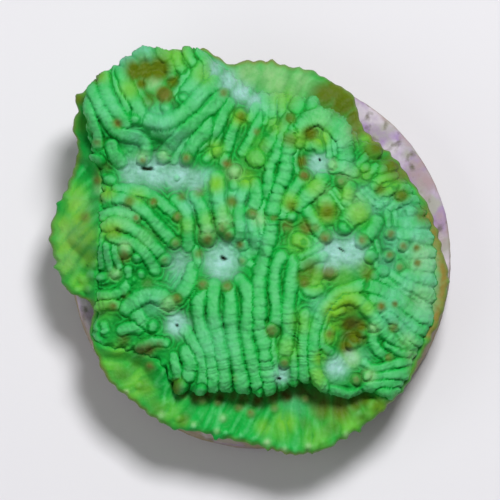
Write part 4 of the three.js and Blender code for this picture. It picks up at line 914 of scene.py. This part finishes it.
def mound_shares(ring, step, rim_x, rim_y):
    """How far out each point of the mound lies, as a share of the way from its centre to its rim."""
    on_top = 1 - (1 - ring / MOUND_RINGS) ** RING_SPREAD
    # On the left, below y 13.5, the wall leans outwards
    sloping = np.clip((11.5 - rim_x) / 1.5, 0, 1) * np.clip((rim_y - 13.5) / 2, 0, 1)
    below = np.interp(step, [0, WALL_STEPS, LIP_STEPS], [1, WALL_FOOT_SHARE, FOOT_SHARE])
    below += SLOPE_REACH * sloping * (step / WALL_STEPS)
    return np.where(step > 0, below, on_top)


def mound_heights(x, y, rim_x, rim_y, inset, step):
    """Heights of the bare mound: its rounded top, its wall, and the hidden foot."""
    top = surveyed(MOUND_SPOTS, x, y) - rim_drop(inset, RIM_ROUND)
    rim_height = surveyed(MOUND_SPOTS, rim_x, rim_y)
    lip = np.maximum(rim_height - LIP_THICKNESS, MOUND_FOOT)
    down = np.interp(step, [0, WALL_STEPS], [0, 1])
    wall = rim_height - RIM_ROUND + (lip - rim_height + RIM_ROUND) * down
    return np.where(step > 0, np.where(step <= WALL_STEPS, wall, MOUND_FOOT), top)


def shaped_mound():
    """The mound: a drawn sheet pressed to its outline and heights, with ribs, knobs and mouths."""
    mound = drawn_sheet()
    ring, turn = square_turns(*mesh_points(mound)[:, :2].T)
    drawn = np.arange(ring.size) - (2 * MOUND_RINGS + 1) ** 2
    step = np.where(drawn >= 0, 1.0 + drawn // (8 * MOUND_RINGS), 0.0)
    rim_x, rim_y = rim_of(MOUND_OUTLINE)(turn % 1)
    out_x = rim_x - MOUND_CENTRE[0]
    out_y = rim_y - MOUND_CENTRE[1]
    out_length = np.hypot(out_x, out_y) + 1e-9
    share = mound_shares(ring, step, rim_x, rim_y) * (1 - RIM_BACK / out_length)
    x = MOUND_CENTRE[0] + out_x * share
    y = MOUND_CENTRE[1] + out_y * share
    inset = np.maximum((1 - share) * out_length - RIM_BACK, 0)
    at_rim = np.clip(1 - inset / RIM_ROUND, 0, 1)

    stands, crest = relief(np.where(step > 0, rim_x, x), np.where(step > 0, rim_y, y))
    costa = 0.5 + 0.5 * np.sin(2 * math.pi * WALL_COSTAE * turn + 2 * np.sin(34 * turn))
    costa *= at_rim
    crest = np.maximum(crest, COSTA_CREST * costa)
    bare = np.clip(step / 2, 0, 1) * np.clip((14 - rim_y) / 3, FRONT_BARE, 1)
    paint(mound, x, y, bare, crest=crest, edge=np.zeros_like(x))

    stands = np.maximum(stands, COSTA_RISE * costa) - SLIT_DEPTH * slit(x, y)
    fade = np.where(step > 0, 1 - RIB_FADE * step, 1)
    stands = np.where(step > WALL_STEPS, 0, stands * fade)
    lean = np.where(step > 0, 1, at_rim)
    outward = RIM_STANDS * stands * lean
    height = mound_heights(x, y, rim_x, rim_y, inset, step)
    points = place(x, y, height + stands * np.sqrt(1 - lean**2))
    points[:, 0] += outward * out_x / out_length
    points[:, 1] -= outward * out_y / out_length
    set_mesh_points(mound, points)
    outward_faces(mound)
    roughen(mound, FLESH_LUMPS)
    return mound


# The skirt: rings from a hidden inner ring out to the rim, then back under it to the disc
SKIRT_COLUMNS = 600
SKIRT_INNER_SHARE = 0.58
SKIRT_TOP_STEPS = 38
SKIRT_UNDER_STEPS = 4
UNDER_SHARES = (1, 0.985, 0.7)
RING_CROWDING = 0.15
SKIRT_ROUND = 0.7
SKIRT_LOWEST = 0.5
# How fast its underside rises past the disc's edge
FLARE_RISE = 0.3
# Its frilly rim, with teeth at these places
FRILL_DEPTH = 0.08
FRILL_COUNT = 88
FRILL_FADE = 0.8
TEETH = [
    (19.1, 4.2), (20.4, 4.5), (22.0, 5.3), (25.4, 5.4), (27.2, 5.9), (7.5, 9.3), (6.7, 15.0), (6.2, 17.7),
    (5.8, 20.3), (4.8, 24.9), (5.7, 26.7), (21.6, 43.5), (22.3, 42.9), (26.8, 44.5), (28.4, 45.3),
    (29.5, 45.6), (31.1, 45.3), (34.7, 43.8), (35.8, 42.9),
]
TOOTH_REACH = 0.5
TOOTH_WIDTH = 0.2
EDGE_WIDTH = 0.32
SKIRT_LUMP_SHARE = 0.3
# On the left and lower left the skirt climbs to the mound: how far under the rim, and how steeply
APRON_DROP = 0.45
APRON_SLOPE = 1.5
LOW_APRON_SLOPE = 0.75


def ringed_disc(columns, rings):
    """A stack of rings with a closed top and bottom, still to be shaped."""
    bpy.ops.mesh.primitive_circle_add(vertices=columns, radius=1, fill_type="NGON")
    piece = bpy.context.object
    bpy.ops.object.mode_set(mode="EDIT")
    draw_rings(rings)
    return piece


def rim_frill(turn, rim_x, rim_y):
    """How far the skirt's rim reaches past its outline, round the turn."""
    uneven = 1.5 * np.sin(2 * math.pi * 9 * turn)
    frill = FRILL_DEPTH * np.sin(2 * math.pi * FRILL_COUNT * turn + uneven)
    frill *= 1 + wobble(rim_x, rim_y)
    for tooth_x, tooth_y in TEETH:
        distance = np.hypot(rim_x - tooth_x, rim_y - tooth_y)
        frill += TOOTH_REACH * np.exp(-((distance / TOOTH_WIDTH) ** 2) / 2)
    return frill


def skirt_shares(step):
    """How far out each ring of the skirt lies, as a share of the way from its centre to its rim."""
    even = np.interp(step, [0, SKIRT_TOP_STEPS], [SKIRT_INNER_SHARE, 1])
    on_top = 1 - (1 - even) ** (1 + RING_CROWDING) / (1 - SKIRT_INNER_SHARE) ** RING_CROWDING
    last = SKIRT_TOP_STEPS + SKIRT_UNDER_STEPS
    under = np.interp(step, [SKIRT_TOP_STEPS, SKIRT_TOP_STEPS + 2, last], UNDER_SHARES)
    return np.where(step > SKIRT_TOP_STEPS, under, on_top)


def skirt_tops(x, y, inset, stands):
    """Heights of the skirt's top side, with its relief, and with its climb to the mound."""
    top = surveyed(SKIRT_SPOTS, x, y) - rim_drop(inset, SKIRT_ROUND)
    from_mound, _, _ = nearest_on_path(smooth_path(MOUND_OUTLINE, closed=True), x, y)
    # It climbs left of x 11.5 between y 14 and 33, and at the lower left below y 33.4
    left = np.clip(11.5 - x, 0, 1) * np.clip((y - 14) / 2, 0, 1) * np.clip((33 - y) / 3, 0, 1)
    lower_left = np.clip((17.6 - x) / 1.2, 0, 1) * np.clip(y - 33.4, 0, 1)
    slope = np.where(lower_left > left, LOW_APRON_SLOPE, APRON_SLOPE)
    apron = surveyed(MOUND_SPOTS, x, y) - APRON_DROP - slope * from_mound
    top += np.maximum(left, lower_left) * np.maximum(apron - top, 0) + stands
    return np.maximum(top, SKIRT_LOWEST)


def shaped_skirt():
    """The skirt: a stack of rings pressed to its outline, heights and folds."""
    skirt = ringed_disc(SKIRT_COLUMNS, SKIRT_TOP_STEPS + SKIRT_UNDER_STEPS)
    start = mesh_points(skirt)
    turn = (np.arctan2(start[:, 1], start[:, 0]) + math.pi / 4) / (2 * math.pi) % 1
    step = np.arange(turn.size) // SKIRT_COLUMNS
    rim_x, rim_y = rim_of(SKIRT_OUTLINE)(turn)
    out_x = rim_x - SKIRT_CENTRE[0]
    out_y = rim_y - SKIRT_CENTRE[1]
    out_length = np.hypot(out_x, out_y)
    reach = out_length * skirt_shares(step)
    inset = out_length - reach
    reach += rim_frill(turn, rim_x, rim_y) * np.exp(-((inset / FRILL_FADE) ** 2))
    x = SKIRT_CENTRE[0] + reach * out_x / out_length
    y = SKIRT_CENTRE[1] + reach * out_y / out_length

    stands, crest = skirt_relief(x, y)
    beneath = step > SKIRT_TOP_STEPS
    edge = np.exp(-((inset / EDGE_WIDTH) ** 2))
    paint(skirt, x, y, np.where(beneath, 1.0, 0.0), crest=crest, edge=edge)
    from_rust, _, _ = nearest_on_path(smooth_path(RUST_RIM), x, y)
    rust = np.exp(-((from_rust / RUST_WIDTH) ** 2))
    skirt.data.attributes["rust"].data.foreach_set("value", rust.astype(np.float32))

    top = skirt_tops(x, y, inset, stands)
    floor = FLARE_RISE * np.maximum(np.hypot(x - PLAN_CENTRE[0], y - PLAN_CENTRE[1]) - DISC_RADIUS, 0)
    half_way = step == SKIRT_TOP_STEPS + 1
    height = np.where(half_way, 0.5 * (floor + top), np.where(beneath, floor, top))
    set_mesh_points(skirt, place(x, y, height))
    outward_faces(skirt)
    roughen(skirt, FLESH_LUMPS, SKIRT_LUMP_SHARE)
    return skirt


def joined(base, other, name):
    """Welds a second piece into the first, as one closed skin."""
    weld = base.modifiers.new("weld", "BOOLEAN")
    weld.operation = "UNION"
    weld.solver = "MANIFOLD"
    weld.object = other
    apply_modifier(base, weld)
    bpy.data.objects.remove(other)
    base.name = name
    base.data.name = name
    return base


def new_material(name, roughness):
    """A plain material, with its node tree and its shader."""
    material = bpy.data.materials.new(name)
    material.use_nodes = True
    shader = material.node_tree.nodes["Principled BSDF"]
    shader.inputs["Roughness"].default_value = roughness
    return material, material.node_tree, shader


def amount(tree, name):
    """How much of a tint the painted points have."""
    layer = tree.nodes.new("ShaderNodeAttribute")
    layer.attribute_name = name
    return layer.outputs["Fac"]


def noise(tree, at, scale, detail, roughness=0.5, seed=None):
    """Cloudy noise at a place; a seed gives it a pattern of its own."""
    clouds = tree.nodes.new("ShaderNodeTexNoise")
    if seed is not None:
        clouds.noise_dimensions = "4D"
        clouds.inputs["W"].default_value = seed
    clouds.inputs["Scale"].default_value = scale
    clouds.inputs["Detail"].default_value = detail
    clouds.inputs["Roughness"].default_value = roughness
    tree.links.new(at, clouds.inputs["Vector"])
    return clouds.outputs["Fac"]


def spread(tree, value, low, high, out_low=0.0, out_high=1.0):
    """Stretches a value's range from low to high over another range."""
    ramp = tree.nodes.new("ShaderNodeMapRange")
    ramp.inputs["From Min"].default_value = low
    ramp.inputs["From Max"].default_value = high
    ramp.inputs["To Min"].default_value = out_low
    ramp.inputs["To Max"].default_value = out_high
    tree.links.new(value, ramp.inputs["Value"])
    return ramp.outputs["Result"]


def times(tree, first, second):
    """Two values multiplied."""
    product = tree.nodes.new("ShaderNodeMath")
    product.operation = "MULTIPLY"
    tree.links.new(first, product.inputs[0])
    tree.links.new(second, product.inputs[1])
    return product.outputs["Value"]


def tinted(tree, below, tint, factor):
    """A tint laid over a colour by a factor."""
    mix = tree.nodes.new("ShaderNodeMix")
    mix.data_type = "RGBA"
    if isinstance(below, tuple):
        mix.inputs["A"].default_value = below
    else:
        tree.links.new(below, mix.inputs["A"])
    mix.inputs["B"].default_value = tint
    tree.links.new(factor, mix.inputs["Factor"])
    return mix.outputs["Result"]


def bumped(tree, shader, height, strength, distance):
    """Gives the shader a fine bump."""
    bump = tree.nodes.new("ShaderNodeBump")
    bump.inputs["Strength"].default_value = strength
    bump.inputs["Distance"].default_value = distance
    tree.links.new(height, bump.inputs["Height"])
    tree.links.new(bump.outputs["Normal"], shader.inputs["Normal"])


# Crests paler and grooves darker: partly the flesh's own colours, partly painted highlight on the crests and
# painted shade in the grooves
CREST_MINT_AND_HIGHLIGHT = (0.078, 0.47, 0.15, 1)
FLANK_GREEN = (0.008, 0.38, 0.055, 1)
GROOVE_GREEN_AND_SHADE = (0.003, 0.17, 0.012, 1)
EMERALD = (0.002, 0.33, 0.035, 1)
TEAL = (0.14, 0.50, 0.31, 1)
YELLOW_GREEN = (0.15, 0.43, 0.022, 1)
OLIVE_BROWN = (0.088, 0.14, 0.003, 1)
TIP_BROWN = (0.12, 0.14, 0.02, 1)
PALE_GREEN = (0.26, 0.50, 0.20, 1)
MOUTH_BLUE = (0.36, 0.60, 0.60, 1)
RUST = (0.23, 0.18, 0.035, 1)
EDGE_OLIVE = (0.17, 0.22, 0.04, 1)
# Painted shade: a dark olive for the shaded hollows
PAINTED_SHADE_OLIVE = (0.065, 0.075, 0.010, 1)
SLIT_PAINTED_SHADE = (0.012, 0.02, 0.008, 1)


def coral_flesh():
    """Green flesh: pale on the crests and deep in the grooves, partly its own colour and partly painted
    highlight and shade, tinted by the painted patches.
    """
    material, tree, shader = new_material("green_flesh", 0.5)
    at = tree.nodes.new("ShaderNodeTexCoord").outputs["Object"]
    mottle = noise(tree, at, 900.0, 4.0, 0.6)
    patchy = noise(tree, at, 180.0, 3.0)
    speckle = spread(tree, mottle, 0.35, 0.65, 0.7, 1.2)
    crest = times(tree, amount(tree, "crest"), spread(tree, mottle, 0.3, 0.7, 0.76, 1.14))
    # Painted light: the yellow grows strong on the crests and fades in the grooves
    sunlit = spread(tree, crest, 0.3, 0.58, 0.5, 1.15)
    broken = spread(tree, patchy, 0.35, 0.6)

    def painted_over(below, tint, name, share):
        """A tint laid over a colour where it is painted, by a share."""
        return tinted(tree, below, tint, times(tree, amount(tree, name), share))

    # Painted highlight and shade: the crest share lays deep green in the grooves and mint on the crests,
    # partly the flesh's own colours
    colour = tinted(tree, GROOVE_GREEN_AND_SHADE, FLANK_GREEN, spread(tree, crest, 0.05, 0.6))
    colour = painted_over(colour, EMERALD, "emerald", speckle)
    colour = tinted(tree, colour, EMERALD, spread(tree, patchy, 0.52, 0.72, 0.0, 0.5))
    colour = tinted(tree, colour, CREST_MINT_AND_HIGHLIGHT, spread(tree, crest, 0.6, 1.0))
    colour = painted_over(colour, TEAL, "teal", speckle)
    colour = painted_over(colour, YELLOW_GREEN, "yellow", sunlit)
    colour = painted_over(colour, PALE_GREEN, "pale", speckle)
    colour = tinted(tree, colour, OLIVE_BROWN, spread(tree, amount(tree, "olive"), 0.05, 0.85))
    colour = painted_over(colour, MOUTH_BLUE, "mouth", speckle)
    colour = painted_over(colour, TIP_BROWN, "brown", speckle)
    colour = painted_over(colour, RUST, "rust", speckle)
    colour = painted_over(colour, EDGE_OLIVE, "edge", broken)
    # Painted shade: dark olive in the hollows under the lip and between ribs
    colour = painted_over(colour, PAINTED_SHADE_OLIVE, "shade", speckle)
    # Painted shade: near black inside the mouth slits
    colour = tinted(tree, colour, SLIT_PAINTED_SHADE, amount(tree, "slit"))
    tree.links.new(colour, shader.inputs["Base Color"])
    shader.inputs["Specular IOR Level"].default_value = 0.1
    shader.inputs["Subsurface Weight"].default_value = 0.15
    shader.inputs["Subsurface Radius"].default_value = (0.4, 1.0, 0.4)
    shader.inputs["Subsurface Scale"].default_value = 0.0004
    grains = tree.nodes.new("ShaderNodeTexVoronoi")
    grains.inputs["Scale"].default_value = 3600.0
    tree.links.new(at, grains.inputs["Vector"])
    bumped(tree, shader, grains.outputs["Distance"], 0.35, 0.00008)
    return material


colony = joined(shaped_skirt(), shaped_mound(), "colony_skin")
set_mesh_points(colony, mesh_points(colony) * MM)
colony.data.materials.clear()
colony.data.materials.append(coral_flesh())
colony.data.shade_smooth()
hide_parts("coral_colony")
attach(colony, "root")


# The frag disc: unglazed cast ceramic that a pink and purple crust has grown over. A stack of rings
# is pressed to a low round profile with a narrower foot, then roughened. The crust is in its material.
DISC_SIDES = 192
DISC_RISE_CUTS = 20
DISC_CAP_CUTS = 24
FOOT_HEIGHT = 1.4
FOOT_RADIUS = 17.2
EDGE_ROUND = 0.5
EDGE_ANGLES = (0.1, 0.5, 0.9, 1.3)
CRUST_MARGIN = 0.14
CRUST_LUMPS = [("crust_swells", 2.2, 0.16, 2), ("crust_grit", 0.5, 0.1, 2)]


def ring_profile():
    """Radius and height down the disc's skin, from the middle of its top to the middle of its foot."""
    edge = DISC_RADIUS - CRUST_MARGIN
    top = DISC_TOP - CRUST_MARGIN
    cap = [(radius, top) for radius in np.linspace(0.5, edge - 0.9, DISC_CAP_CUTS)]
    round_edge = [
        (edge - EDGE_ROUND + EDGE_ROUND * math.sin(angle), top - EDGE_ROUND + EDGE_ROUND * math.cos(angle))
        for angle in EDGE_ANGLES
    ]
    wall = [(edge, height) for height in np.linspace(top - 0.55, FOOT_HEIGHT + 0.2, DISC_RISE_CUTS)]
    foot = [(edge - 0.5, 1.1), (edge - 1.1, 0.6), (FOOT_RADIUS, 0.15), (FOOT_RADIUS - 0.2, 0.0)]
    sole = [(radius, 0.0) for radius in (12.0, 7.0, 2.5)]
    return cap + round_edge + wall + foot + sole


def shaped_disc():
    """The disc: a stack of rings pressed to its profile, rough above the foot and flat below."""
    profile = ring_profile()
    disc = ringed_disc(DISC_SIDES, len(profile) - 1)
    disc.name = "disc_crust"
    start = mesh_points(disc)
    turn = np.arctan2(start[:, 1], start[:, 0])
    radius, height = np.array(profile)[np.arange(turn.size) // DISC_SIDES].T
    set_mesh_points(disc, np.stack([radius * np.cos(turn), radius * np.sin(turn), height], axis=-1))
    outward_faces(disc)
    above_foot = disc.vertex_groups.new(name="above_foot")
    heights = mesh_points(disc)[:, 2]
    above_foot.add([int(i) for i in np.flatnonzero(heights > 0.5)], 1.0, "REPLACE")
    roughen(disc, CRUST_LUMPS, only="above_foot")
    return disc


CRUST_PURPLE = (0.33, 0.23, 0.42, 1)
CRUST_PALE = (0.56, 0.50, 0.57, 1)
CRUST_GREY_GREEN = (0.36, 0.35, 0.32, 1)
CRUST_PINK = (0.36, 0.26, 0.29, 1)
CRUST_PIT = (0.11, 0.10, 0.06, 1)
WALL_TAN = (0.30, 0.25, 0.15, 1)
# The crust's patches, laid on one after another: noise scale, share of cover and tint
CRUST_PATCHES = [
    (260.0, 0.52, CRUST_PALE), (420.0, 0.34, CRUST_GREY_GREEN), (350.0, 0.3, CRUST_PINK),
    (700.0, 0.12, CRUST_PIT),
]
CRUST_DETAIL = 5.0
PATCH_SOFT = 0.07


def coralline_ceramic():
    """A blotchy crust on the top, and bare tan ceramic with stains low on the wall."""
    material, tree, shader = new_material("coralline_crust", 0.85)
    at = tree.nodes.new("ShaderNodeTexCoord").outputs["Object"]
    axes = tree.nodes.new("ShaderNodeSeparateXYZ")
    tree.links.new(at, axes.inputs["Vector"])
    colour = CRUST_PURPLE
    for seed, (scale, cover, tint) in enumerate(CRUST_PATCHES):
        middle = 0.5 + 0.35 * (0.5 - cover)
        clouds = noise(tree, at, scale, CRUST_DETAIL, seed=seed)
        colour = tinted(tree, colour, tint, spread(tree, clouds, middle - PATCH_SOFT, middle + PATCH_SOFT))
    low = spread(tree, axes.outputs["Z"], (DISC_TOP - 0.1) * MM, (DISC_TOP - 0.8) * MM)
    worn = spread(tree, noise(tree, at, 300.0, CRUST_DETAIL, seed=9.0), 0.3, 0.5)
    colour = tinted(tree, colour, WALL_TAN, times(tree, low, worn))
    tree.links.new(colour, shader.inputs["Base Color"])
    shader.inputs["Specular IOR Level"].default_value = 0.2
    bumped(tree, shader, noise(tree, at, 2200.0, CRUST_DETAIL, seed=5.0), 0.5, 0.00015)
    return material


disc = shaped_disc()
set_mesh_points(disc, mesh_points(disc) * MM)
disc.data.materials.append(coralline_ceramic())
disc.data.shade_smooth()
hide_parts("frag_disc")
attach(disc, "root")


# The floor: a plain pale sheet under the disc. It lies a hair below the foot, so that the two
# faces don't fight for the same place.
FLOOR_SIDE = 1.2
FLOOR_DROP = 0.0002
FLOOR_PALE = (0.68, 0.67, 0.70, 1)

bpy.ops.mesh.primitive_plane_add(size=FLOOR_SIDE, location=(0, 0, -FLOOR_DROP))
floor = bpy.context.object
floor.name = "floor"
floor_paint, _, floor_shader = new_material("floor_paint", 0.9)
floor_shader.inputs["Base Color"].default_value = FLOOR_PALE
floor.data.materials.append(floor_paint)
floor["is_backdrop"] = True


# Soft studio light: a pale surround, a lamp high behind on the right, a wide fill at the front left.
LAMP_TARGET = (0, 0, 0.01)
SURROUND_STRENGTH = 0.16


def soft_lamp(name, at, size, watts):
    """A square area lamp that faces the coral."""
    light = bpy.data.lights.new(name, "AREA")
    light.size = size
    light.energy = watts
    lamp = bpy.data.objects.new(name, light)
    bpy.context.collection.objects.link(lamp)
    lamp.location = at
    reach = [end - start for start, end in zip(at, LAMP_TARGET)]
    lamp.rotation_euler = Vector(reach).to_track_quat("-Z", "Y").to_euler()


world = bpy.data.worlds.new("surround")
bpy.context.scene.world = world
world.use_nodes = True
surround = world.node_tree.nodes["Background"]
surround.inputs["Color"].default_value = (1, 1, 1, 1)
surround.inputs["Strength"].default_value = SURROUND_STRENGTH
soft_lamp("key", (0.07, 0.12, 0.36), 0.11, 1.5)
soft_lamp("fill", (-0.25, -0.15, 0.25), 0.3, 0.4)
bpy.context.scene.view_settings.view_transform = "Standard"


# The camera looks down on the middle of the plan, at the plan's own angle, through a long lens.
PLAN_SIDE = 50.0
CAMERA_DISTANCE = 1.0
SENSOR = 36.0

aim = place(PLAN_SIDE / 2, PLAN_SIDE / 2, 0.0) * MM
camera_data = bpy.data.cameras.new("camera")
camera_data.sensor_width = SENSOR
camera_data.lens = SENSOR * CAMERA_DISTANCE / (PLAN_SIDE * MM)
camera_data.clip_end = 10
camera = bpy.data.objects.new("camera", camera_data)
bpy.context.collection.objects.link(camera)
camera.location = (
    aim[0],
    aim[1] - CAMERA_DISTANCE * math.cos(VIEW_ELEVATION),
    aim[2] + CAMERA_DISTANCE * math.sin(VIEW_ELEVATION),
)
camera.rotation_euler = (math.pi / 2 - VIEW_ELEVATION, 0, 0)
bpy.context.scene.camera = camera

# Both boxes, so that the looks can be held against the model's size
boxes = {"cad": cad_box, "visual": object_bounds()}
boxes = {name: [[float(value) for value in corner] for corner in box] for name, box in boxes.items()}
